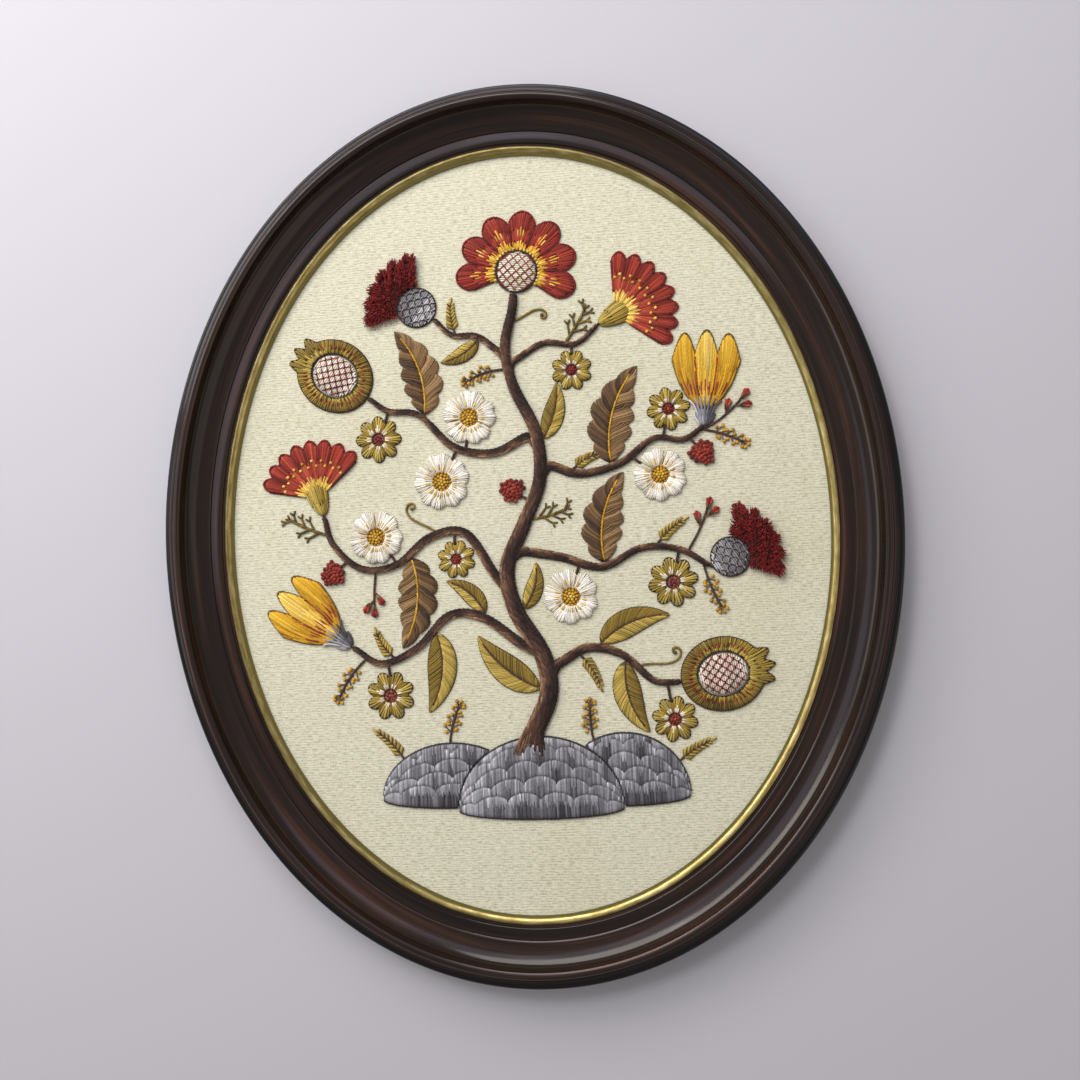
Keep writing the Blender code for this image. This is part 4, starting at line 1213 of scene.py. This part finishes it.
def sewFruit(foot, size):
    f = fruit
    place = onFoot(foot, f["height"] * size / 2)
    w, h = f["windowWidth"] / 2 * size, f["windowHeight"] / 2 * size

    def spot(s, t):
        angle = math.pi * s
        crown = max(0, *(1 - abs(angle - point) / f["crownHalf"] for point in f["crownAt"]))
        reach = (1 + f["crownRise"] * crown) * size / 2
        return place(mix(w + f["ringRoom"], f["width"] * reach, t) * math.sin(angle),
                     mix(h + f["ringRoom"], f["height"] * reach, t) * math.cos(angle))

    longAndShort(spot, [0.0, 0.52, 0.98],
                 lambda s, t: ("fruit_rinds", 0.95 - 0.9 * t + 0.25 * math.sin(math.pi * s + 2.2)),
                 lambda s, t: 0.9 * math.sin(math.pi * t) ** 0.7)
    for i in range(f["flecks"]):
        s = -1 + 2 * (i + 0.5) / f["flecks"]
        if abs(s) > 0.16:
            straight("fruit_flecks", [spot(s, 0.3), spot(s, 0.62)], 0.5, 1.45, wide=0.75)
    stemStitch("fruit_rings", spread(spot, 120, t=0.99), 0.4, lift=0.1, wide=0.75, stitch=f["outline"])
    stemStitch("fruit_rings", spread(spot, 60, t=0.03), 0.2, lift=0.5, stitch=f["outline"])
    reach = (w - f["inset"], h - f["inset"])
    satinDisc("fruit_hearts", place, *reach, 0.75, f["dome"])
    trellis("fruit_lattices", "fruit_ties", place, *reach, (0.6, 0.2), f["netGap"], f["dome"])


tulip = {"width": 36, "height": 42, "bulge": 0.55, "lobes": 3, "dip": 0.34, "power": 0.9,
         "cupWidth": 12, "cupHeight": 9, "slack": 0.5, "outline": 3.6 * mm,
         "streaks": (-0.84, -0.66, -0.5, -0.17, 0.0, 0.17, 0.5, 0.66, 0.84)}


def sewTulip(foot, size):
    c = tulip
    place = onFoot(foot)
    drop = (c["cupHeight"] + c["slack"]) * size
    spot = cupSpot(onFoot(foot, drop), c["width"] * size, c["height"] * size, c["bulge"], c["lobes"],
                   c["dip"], c["power"])

    def paint(s, t):
        face = 1.0 if abs(s) < 1 / 3 else 0.55
        return "tulip_petals_sewn", face - 0.45 * offAxis(s, 3) + 0.35 * (t - 0.5)

    longAndShort(spot, [0.02, 0.34, 0.64, 0.985], paint, lambda s, t: 0.6 * (1 - offAxis(s, 3)))
    for s in (-1 / 3, 1 / 3):
        stemStitch("tulip_veins", rib(spot, s, 0.06, 0.99, 12), 0.5, lift=0.6, wide=0.8)
    for s in c["streaks"]:
        far = 0.5 - 0.9 * abs(s - round(s * 1.5) / 1.5)
        straight("tulip_veins", [spot(s, 0.16), spot(s, 0.32), spot(s, far)], 0.7, 1.0, wide=0.75)
    outline = rib(spot, -1, 0.08, 1, 10)[:-1] + spread(spot, 60) + rib(spot, 1, 1, 0.08, 10)[1:]
    stemStitch("tulip_rims", outline, 0.1, lift=0.0, wide=0.85, stitch=c["outline"])
    cup = cupSpot(place, c["cupWidth"] * size, c["cupHeight"] * size, 0.6, 1, 0.2, 1.0)
    longAndShort(cup, [0.05, 1.0], lambda s, t: ("tulip_calyxes", 0.5 - 0.4 * s),
                 lambda s, t: 0.7 * (1 - s * s))
    for k in range(-3, 4):
        sepal = [place(k * 1.1 * size, 5 * size), place(k * 1.9 * size, 11 * size),
                 place(k * 2.9 * size, (17 - 1.1 * abs(k)) * size)]
        straight("tulip_calyxes", sepal, 0.6 - 0.15 * k, 0.9)


bloomFoot = 14.4
blooms = {
    # petals, then the crease between two, the accents up each (looks: shade, lift and width), and
    # the heart of knots
    "rose": {"reach": 16, "petals": 5, "dip": 0.22, "power": 0.5, "notch": 0.10, "notchWidth": 0.10,
             "stitches": 17, "fan": 0.35, "cushion": 0.75, "fade": 0.8, "fadePower": 1.5,
             "creases": "rose_flecks", "crease": (0.1, 0.5, 0.97), "creaseLook": (0.7, 0.45, 0.7),
             "accentOff": 0.11, "accent": (0.08, 0.42, 0.58), "accentLook": (0.7, 1.3, 0.65),
             "heart": 5.2, "inset": 0.2, "rings": ((0.0, 1), (0.36, 6), (0.68, 11), (1.0, 16)),
             "knot": 1.3 * mm, "knotFade": 0.6, "knotLift": 0.9},
    "daisy": {"reach": 15, "petals": 8, "dip": 0.36, "power": 0.7, "notch": 0.0, "notchWidth": 0.10,
              "stitches": 6, "fan": 0.3, "cushion": 0.6, "fade": 0.7, "fadePower": 1.3,
              "creases": "daisy_creases", "crease": (0.1, 1.0), "creaseLook": (0.0, 0.3, 0.55),
              "accentOff": 0.05, "accent": (0.02, 0.34, 0.5), "accentLook": (0.6, 1.0, 0.7),
              "heart": 4.2, "inset": 0.1, "rings": ((0.0, 1), (0.5, 6), (1.0, 11)),
              "knot": 1.25 * mm, "knotFade": 0.7, "knotLift": 0.8},
}


def sewBloom(kind, foot, size):
    b = blooms[kind]
    petals = b["petals"]
    place = onFoot(foot, bloomFoot * size)
    spot = bloomSpot(b, place, size, b["heart"] * size)

    def paint(s, t):
        return kind + "_petals_sewn", 1.0 - b["fade"] * offAxis(s, petals) ** b["fadePower"]

    longAndShort(spot, [0.0, 0.985], paint, lambda s, t: b["cushion"] * (1 - offAxis(s, petals) ** 2),
                 b["fan"], petals * b["stitches"])
    if kind == "daisy":
        stemStitch("daisy_creases", spread(spot, 96), 0.0, lift=-0.1, wide=0.55, stitch=3.4 * mm)
    for k in range(petals):
        edge = -1 + 2 * k / petals
        shade, lift, wide = b["creaseLook"]
        straight(b["creases"], [spot(edge, t) for t in b["crease"]], shade, lift, wide=wide)
        shade, lift, wide = b["accentLook"]
        start, near, far = b["accent"]
        for off, end in ((-b["accentOff"], near), (0.0, far), (b["accentOff"], near)):
            s = edge + 1 / petals + off
            straight(kind + "_accents", [spot(s, start), spot(s, end)], shade, lift, wide=wide)
    knotHeart(kind + "_hearts", place, (b["heart"] - b["inset"]) * size, b["rings"],
              lambda ring: 0.8 - b["knotFade"] * ring, b["knot"], b["knotLift"])


for kind, sew in (("palmette", sewPalmette), ("carnation", sewCarnation), ("thistle", sewThistle),
                  ("fruit", sewFruit), ("tulip", sewTulip)):
    for foot, size, bend in motifsOf(kind):
        sew(foot, size)
for kind in blooms:
    for foot, size, bend in motifsOf(kind):
        sewBloom(kind, foot, size)
print("blossoms sewn")


# Leaves, plumes and berries

leafShape = {"length": 48, "width": 17, "light": 0.95, "dark": 0.35, "outline": 3.8 * mm}
plumeShape = {"length": 60, "width": 27, "lobes": 5, "dip": 0.34, "light": 0.45, "dark": 0.0, "glow": 0.6}
berry = {"reach": 7, "foot": 6, "knots": 38, "size": 1.5 * mm, "rise": 1.5, "turn": 2.39996}


def midrib(piece, spot, shade, lift):
    stemStitch(piece, rib(spot, 0, 0.01, 0.9, 16), shade, lift=lift, wide=0.72)


def sewLeaf(foot, size, bend, halves):
    spot = bladeSpot(onFoot(foot), leafShape["length"] * size, leafShape["width"] * size, bend)
    fishbone("leaf_blades", spot, halves)
    edge = [spot(1, k / 40) for k in range(41)] + [spot(-1, 1 - k / 40) for k in range(1, 41)]
    stemStitch("leaf_edges", edge, 0.1, lift=-0.1, wide=0.6, stitch=leafShape["outline"])
    midrib("leaf_veins", spot, 0.5, 0.85)


def sewPlume(foot, size, bend):
    # Each lobe glows towards its tip
    c = plumeShape
    spot = bladeSpot(onFoot(foot), c["length"] * size, c["width"] * size, bend, c["lobes"], c["dip"])

    def glowing(base):
        return lambda f: base + c["glow"] * (f * c["lobes"] % 1)

    fishbone("plume_blades", spot, [glowing(c["light"]), glowing(c["dark"])], slant=0.13)
    midrib("plume_veins", spot, 0.4, 0.95)


def sewBerries(foot, size):
    place = onFoot(foot, berry["foot"] * size)
    reach = berry["reach"] * size
    for i in range(berry["knots"]):
        r = reach * 0.92 * math.sqrt((i + 0.4) / berry["knots"])
        angle = i * berry["turn"] + foot[2]
        grow = 1 + 0.12 * math.cos(3 * angle)
        x, y = place(r * grow * math.sin(angle), r * grow * math.cos(angle))
        frenchKnot("berry_knots", x, y, 0.8 - 0.6 * r / reach + rng.uniform(-0.2, 0.2),
                   berry["size"], berry["rise"] * (1 - (r / reach) ** 2), plump=0.62)


for number, (foot, size, bend) in enumerate(motifsOf("leaf")):
    halves = (leafShape["dark"], leafShape["light"])
    sewLeaf(foot, size, bend, halves[::-1] if number % 2 else halves)
for foot, size, bend in motifsOf("plume"):
    sewPlume(foot, size, bend)
for foot, size, bend in motifsOf("berries"):
    sewBerries(foot, size)
print("leaves, plumes and berries sewn")


# Stalks, sprigs and tendrils

sprigs = [
    # kind, where it grows (a stem, or a mound), share along or across it, side, turn in degrees,
    # length in chart units, bend in radians
    ("seeds", "bough_low_left", 0.90, 1, 75, 34, 0.5),
    ("seeds", "bough_top_right", 0.985, -1, 42, 30, 0.35),
    ("seeds", "bough_mid_right", 0.97, -1, 45, 32, -0.3),
    ("seeds", "trunk", 0.77, 1, 75, 28, 0.6),
    ("buds", "bough_top_right", 0.97, -1, 14, 36, -0.5),
    ("buds", "bough_mid_left", 0.60, 1, 78, 24, 0.2),
    ("buds", "bough_mid_right", 0.85, 1, 82, 32, 0.3),
    ("fern", "bough_low_right", 0.16, -1, 70, 26, 0.5),
    ("fern", "bough_mid_right", 0.68, 1, 55, 24, -0.4),
    ("fern", "twig_left", 0.62, -1, 60, 22, 0.4),
    ("fern", "bough_top_right", 0.14, 1, 60, 22, -0.5),
    ("fern", "bough_low_left", 0.72, -1, 60, 22, 0.5),
    ("frond", "trunk", 0.47, -1, 60, 26, -0.3),
    ("frond", "twig_right", 0.55, 1, 62, 28, 0.2),
    ("frond", "bough_mid_left", 0.90, 1, 60, 30, -0.3),
    ("fern", "mound_left", -0.68, 1, 8, 28, 0.5),
    ("seeds", "mound_left", -0.02, -1, 4, 28, 0.4),
    ("seeds", "mound_right", -0.45, -1, 0, 26, 0.3),
    ("fern", "mound_right", 0.84, -1, 25, 26, 0.3),
]
sprig = {
    "steps": 16, "stitch": 3.6 * mm,                              # lengths below in chart units
    "seed": 1.15 * mm, "smallSeed": 1.1 * mm, "longStalk": 8.0, "shortStalk": 4.6, "stalkTurn": 0.9,
    "closeSeed": 3.4, "closeTurn": 1.6, "tipStalk": 4.0, "tipTurns": (-0.8, 0, 0.8),
    "bud": 8.0, "budSide": 7.04, "budFan": 0.24, "cup": 3.8, "cupFan": 0.36,
    "budStalk": 3.6, "budStalkTurn": 0.8, "budTurn": 0.6, "budsAt": ((9, 1), (13, -1)),
    "leaflets": ((0.72, 6.6, 0.9), (0.98, 5.6, 0.4)), "tipLeaflet": 5.0,     # turn, length, shade
    "branch": 9.5, "branchTurn": 0.75, "fork": 3.8, "forkTurns": (0.2, 1.3), "tipFork": 3.6,
}


def sprigSpine(root, share, side, turn, length, bend):
    # Place and heading at each step up a sprig
    if root in mounds:
        m = mounds[root]
        x = m["x"] + share * m["halfWidth"]
        y = moundSpan(m, x)[0] - 1
        heading = math.pi / 2 - share * 0.5
    else:
        (x, y), (dx, dy), half = onStem(stems[root], share)
        heading = math.atan2(dy, dx)
        x, y = x - dy * half * side * 0.8, y + dx * half * side * 0.8
    heading += side * math.radians(turn)
    steps = sprig["steps"]
    spine = []
    for k in range(steps + 1):
        spine.append((x, y, heading))
        heading += side * bend / steps
        x += math.cos(heading) * length / steps
        y += math.sin(heading) * length / steps
    return spine


def shoot(piece, x, y, heading, length, shade, wide, lift=0.0):
    # One short stitch out of a sprig; gives the place of its far end
    endX, endY = x + math.cos(heading) * length, y + math.sin(heading) * length
    straight(piece, [onPanel(x, y), onPanel(endX, endY)], shade, lift, wide=wide)
    return endX, endY


def sewSeed(place, size=sprig["seed"]):
    frenchKnot("sprig_seeds", *onPanel(*place), 0.3, size, plump=0.56)


def growSeeds(x, y, heading, hand, k, taper):
    # A seed on a stalk to each side, long and short by turns, and one close in by the long ones
    far = sprig["longStalk" if (k % 4 == 1) == (hand > 0) else "shortStalk"] * taper
    sewSeed(shoot("sprig_stalks", x, y, heading + hand * sprig["stalkTurn"], far, 0.5, 0.6))
    if far > 5.5:
        aside, off = heading + hand * sprig["closeTurn"], sprig["closeSeed"]
        sewSeed((x + math.cos(aside) * off, y + math.sin(aside) * off), sprig["smallSeed"])


def tipSeeds(x, y, heading):
    for turn in sprig["tipTurns"]:
        sewSeed(shoot("sprig_stalks", x, y, heading + turn, sprig["tipStalk"], 0.5, 0.6))


def sewBud(x, y, heading):
    # Three plump stitches held in a short cup
    for hand, shade in ((1, 0.5), (-1, 0.9)):
        shoot("bud_rust", x, y, heading + hand * sprig["budFan"], sprig["budSide"], shade, 1.5, 0.2)
    shoot("bud_maroon", x, y, heading, sprig["bud"], 0.6, 1.5, 0.2)
    for hand in (1, -1):
        shoot("sprig_stalks", x, y, heading + hand * sprig["cupFan"], sprig["cup"], 0.6, 1.2, 1.0)


def growBuds(x, y, heading, hand, k, taper):
    if (k, hand) in sprig["budsAt"]:
        end = shoot("sprig_stalks", x, y, heading + hand * sprig["budStalkTurn"], sprig["budStalk"], 0.5, 0.8)
        sewBud(*end, heading + hand * sprig["budTurn"])


def growFern(x, y, heading, hand, k, taper):
    for turn, far, shade in sprig["leaflets"]:
        shoot("sprig_leaflets", x, y, heading + hand * turn, far * taper, shade, 0.95)


def tipFern(x, y, heading):
    shoot("sprig_leaflets", x, y, heading, sprig["tipLeaflet"], 0.9, 1.0)


def growFrond(x, y, heading, hand, k, taper):
    # A forked branch, left and right by turns
    if (k // 2) % 2 == (hand > 0) and k != 11:
        colour = dyed("sprig_fronds", 0.1)
        turn, far = sprig["branchTurn"], sprig["branch"] * taper
        end = shoot("sprig_fronds", x, y, heading + hand * turn, far, colour, 1.0)
        for turn in sprig["forkTurns"]:
            shoot("sprig_fronds", *end, heading + hand * turn, sprig["fork"], colour, 0.9)


def tipFrond(x, y, heading):
    for hand in (-0.5, 0.5):
        shoot("sprig_fronds", x, y, heading + hand, sprig["tipFork"], 0.1, 0.8)


sprigKinds = {
    # what grows at each side, what grows at the tip, the first step with a side shoot,
    # and the stem's piece, shade and width
    "seeds": (growSeeds, tipSeeds, 5, "sprig_stems", 0.45, 0.85),
    "buds": (growBuds, sewBud, 3, "sprig_stems", 0.45, 0.85),
    "fern": (growFern, tipFern, 3, "sprig_stems", 0.45, 0.85),
    "frond": (growFrond, tipFrond, 3, "sprig_fronds", 0.1, 1.05),
}


def sewSprigs():
    for kind, *route in sprigs:
        grow, tip, first, piece, shade, wide = sprigKinds[kind]
        spine = sprigSpine(*route)
        stemStitch(piece, [onPanel(x, y) for x, y, heading in spine], shade,
                   lift=0.1, wide=wide, stitch=sprig["stitch"])
        for k in range(first, sprig["steps"] + 1, 2):
            for hand in (1, -1):
                grow(*spine[k], hand, k, 1 - 0.5 * k / sprig["steps"])
        tip(*spine[-1])


tendrils = [
    # stem, share along it, side, size in chart units
    ("bough_low_right", 0.62, 1, 15), ("bough_mid_left", 0.30, -1, 14), ("trunk", 0.885, -1, 12),
]
stalkStitch = 3.4 * mm


def sewStalks():
    for motif in motifs:
        kind, stemName, share, side, turn, size, bend, reach = motif
        foot = footOf(motif)
        x, y = onStem(stems[stemName], share)[0]
        line = [onPanel(mix(x, foot[0], k / 4), mix(y, foot[1], k / 4)) for k in range(5)]
        if kind in blooms:
            line.append(onPanel(0, (bloomFoot - blooms[kind]["reach"] * 0.8) * size, foot))
        stemStitch("stalks", line, 0.5, lift=0.4, stitch=stalkStitch)


def sewTendrils():
    for stemName, share, side, size in tendrils:
        (x, y), (dx, dy), half = onStem(stems[stemName], share)
        heading = math.atan2(dy, dx) + side * 1.0
        x, y = x - dy * half * side, y + dx * half * side
        line = []
        for k in range(46):
            line.append(onPanel(x, y))
            heading += side * mix(-0.035, 0.42, (k / 45) ** 1.6)
            step = size / 14 * mix(1.25, 0.55, k / 45)
            x += math.cos(heading) * step
            y += math.sin(heading) * step
        stemStitch("tendrils", line, 0.35, wide=0.85, stitch=stalkStitch)
        frenchKnot("tendrils", *line[-1], 0.2, 1.4 * mm)


sewStalks()
sewSprigs()
sewTendrils()
print("stalks, sprigs and tendrils sewn")

for piece in work:
    castOff(piece)
print("threads cast off")


# Camera, floor and light

camera = {"place": (84.2, -31.3, 714.1), "turn": (1.766, 6.066, -2.5),       # mm, degrees
          "lens": 36.07, "sensor": 36}
studio = {"floor": "#C9C8D0", "floorRoughness": 0.85, "floorHalf": 4,
          "world": "#E6E5E4", "worldStrength": 0.32}
lights = {
    # name: place, width and height in metres, power in watts, colour. Long low strips round the upper
    # left give the cove its narrow band of light, and broad cards overhead lift the flat band.
    "topStrip": ((-0.35, 1.15, 0.88), 1.1, 0.62, 11.0, "#FFF9F4"),
    "cornerStrip": ((-1.05, 0.72, 0.76), 0.7, 0.5, 6.0, "#FFF9F4"),
    "leftStrip": ((-1.30, 0.0, 0.60), 0.7, 0.3, 1.4, "#FFF6EC"),
    "overhead": ((-0.73, 0.68, 1.40), 1.6, 0.62, 3.3, "#E8E7FF"),
    "beyond": ((0.34, 0.92, 1.40), 1.25, 0.42, 1.7, "#E0E2FF"),
    "fill": ((1.3, -0.6, 1.3), 1.4, 1.4, 3.4, "#FFE8DA"),
    "key": ((-0.68, 0.96, 1.65), 0.5, 0.5, 9.0, "#FCFAF4"),
}


def placeCamera():
    data = bpy.data.cameras.new("camera")
    data.lens = camera["lens"]
    data.sensor_width = camera["sensor"]
    item = bpy.data.objects.new("camera", data)
    item.location = Vector(camera["place"]) * mm
    item.rotation_euler = [math.radians(a) for a in camera["turn"]]
    bpy.context.scene.collection.objects.link(item)
    bpy.context.scene.camera = item


def layFloor():
    # Matt painted board, pale and cool
    material, tree, shader = newMaterial("matt painted board")
    shader.inputs["Base Color"].default_value = (*linear(studio["floor"]), 1)
    shader.inputs["Roughness"].default_value = studio["floorRoughness"]
    half = studio["floorHalf"]
    corners = [(-half, -half, 0), (half, -half, 0), (half, half, 0), (-half, half, 0)]
    meshPiece("floor", corners, [(0, 1, 2, 3)], material, smooth=False)


def addLights():
    for name, (place, wide, high, power, colour) in lights.items():
        data = bpy.data.lights.new(name, "AREA")
        data.shape = "RECTANGLE"
        data.size, data.size_y = wide, high
        data.energy = power
        data.color = linear(colour)
        item = bpy.data.objects.new(name, data)
        item.location = place
        item.rotation_euler = (-Vector(place)).to_track_quat("-Z", "Y").to_euler()
        item.visible_glossy = name != "key"        # as if polarised: it leaves no glare on the lacquer
        bpy.context.scene.collection.objects.link(item)
    world = bpy.context.scene.world or bpy.data.worlds.new("world")
    bpy.context.scene.world = world
    world.use_nodes = True
    background = world.node_tree.nodes["Background"]
    background.inputs["Color"].default_value = (*linear(studio["world"]), 1)
    background.inputs["Strength"].default_value = studio["worldStrength"]


placeCamera()
layFloor()
addLights()
bpy.context.scene.view_settings.view_transform = "Standard"

print("scene ready")
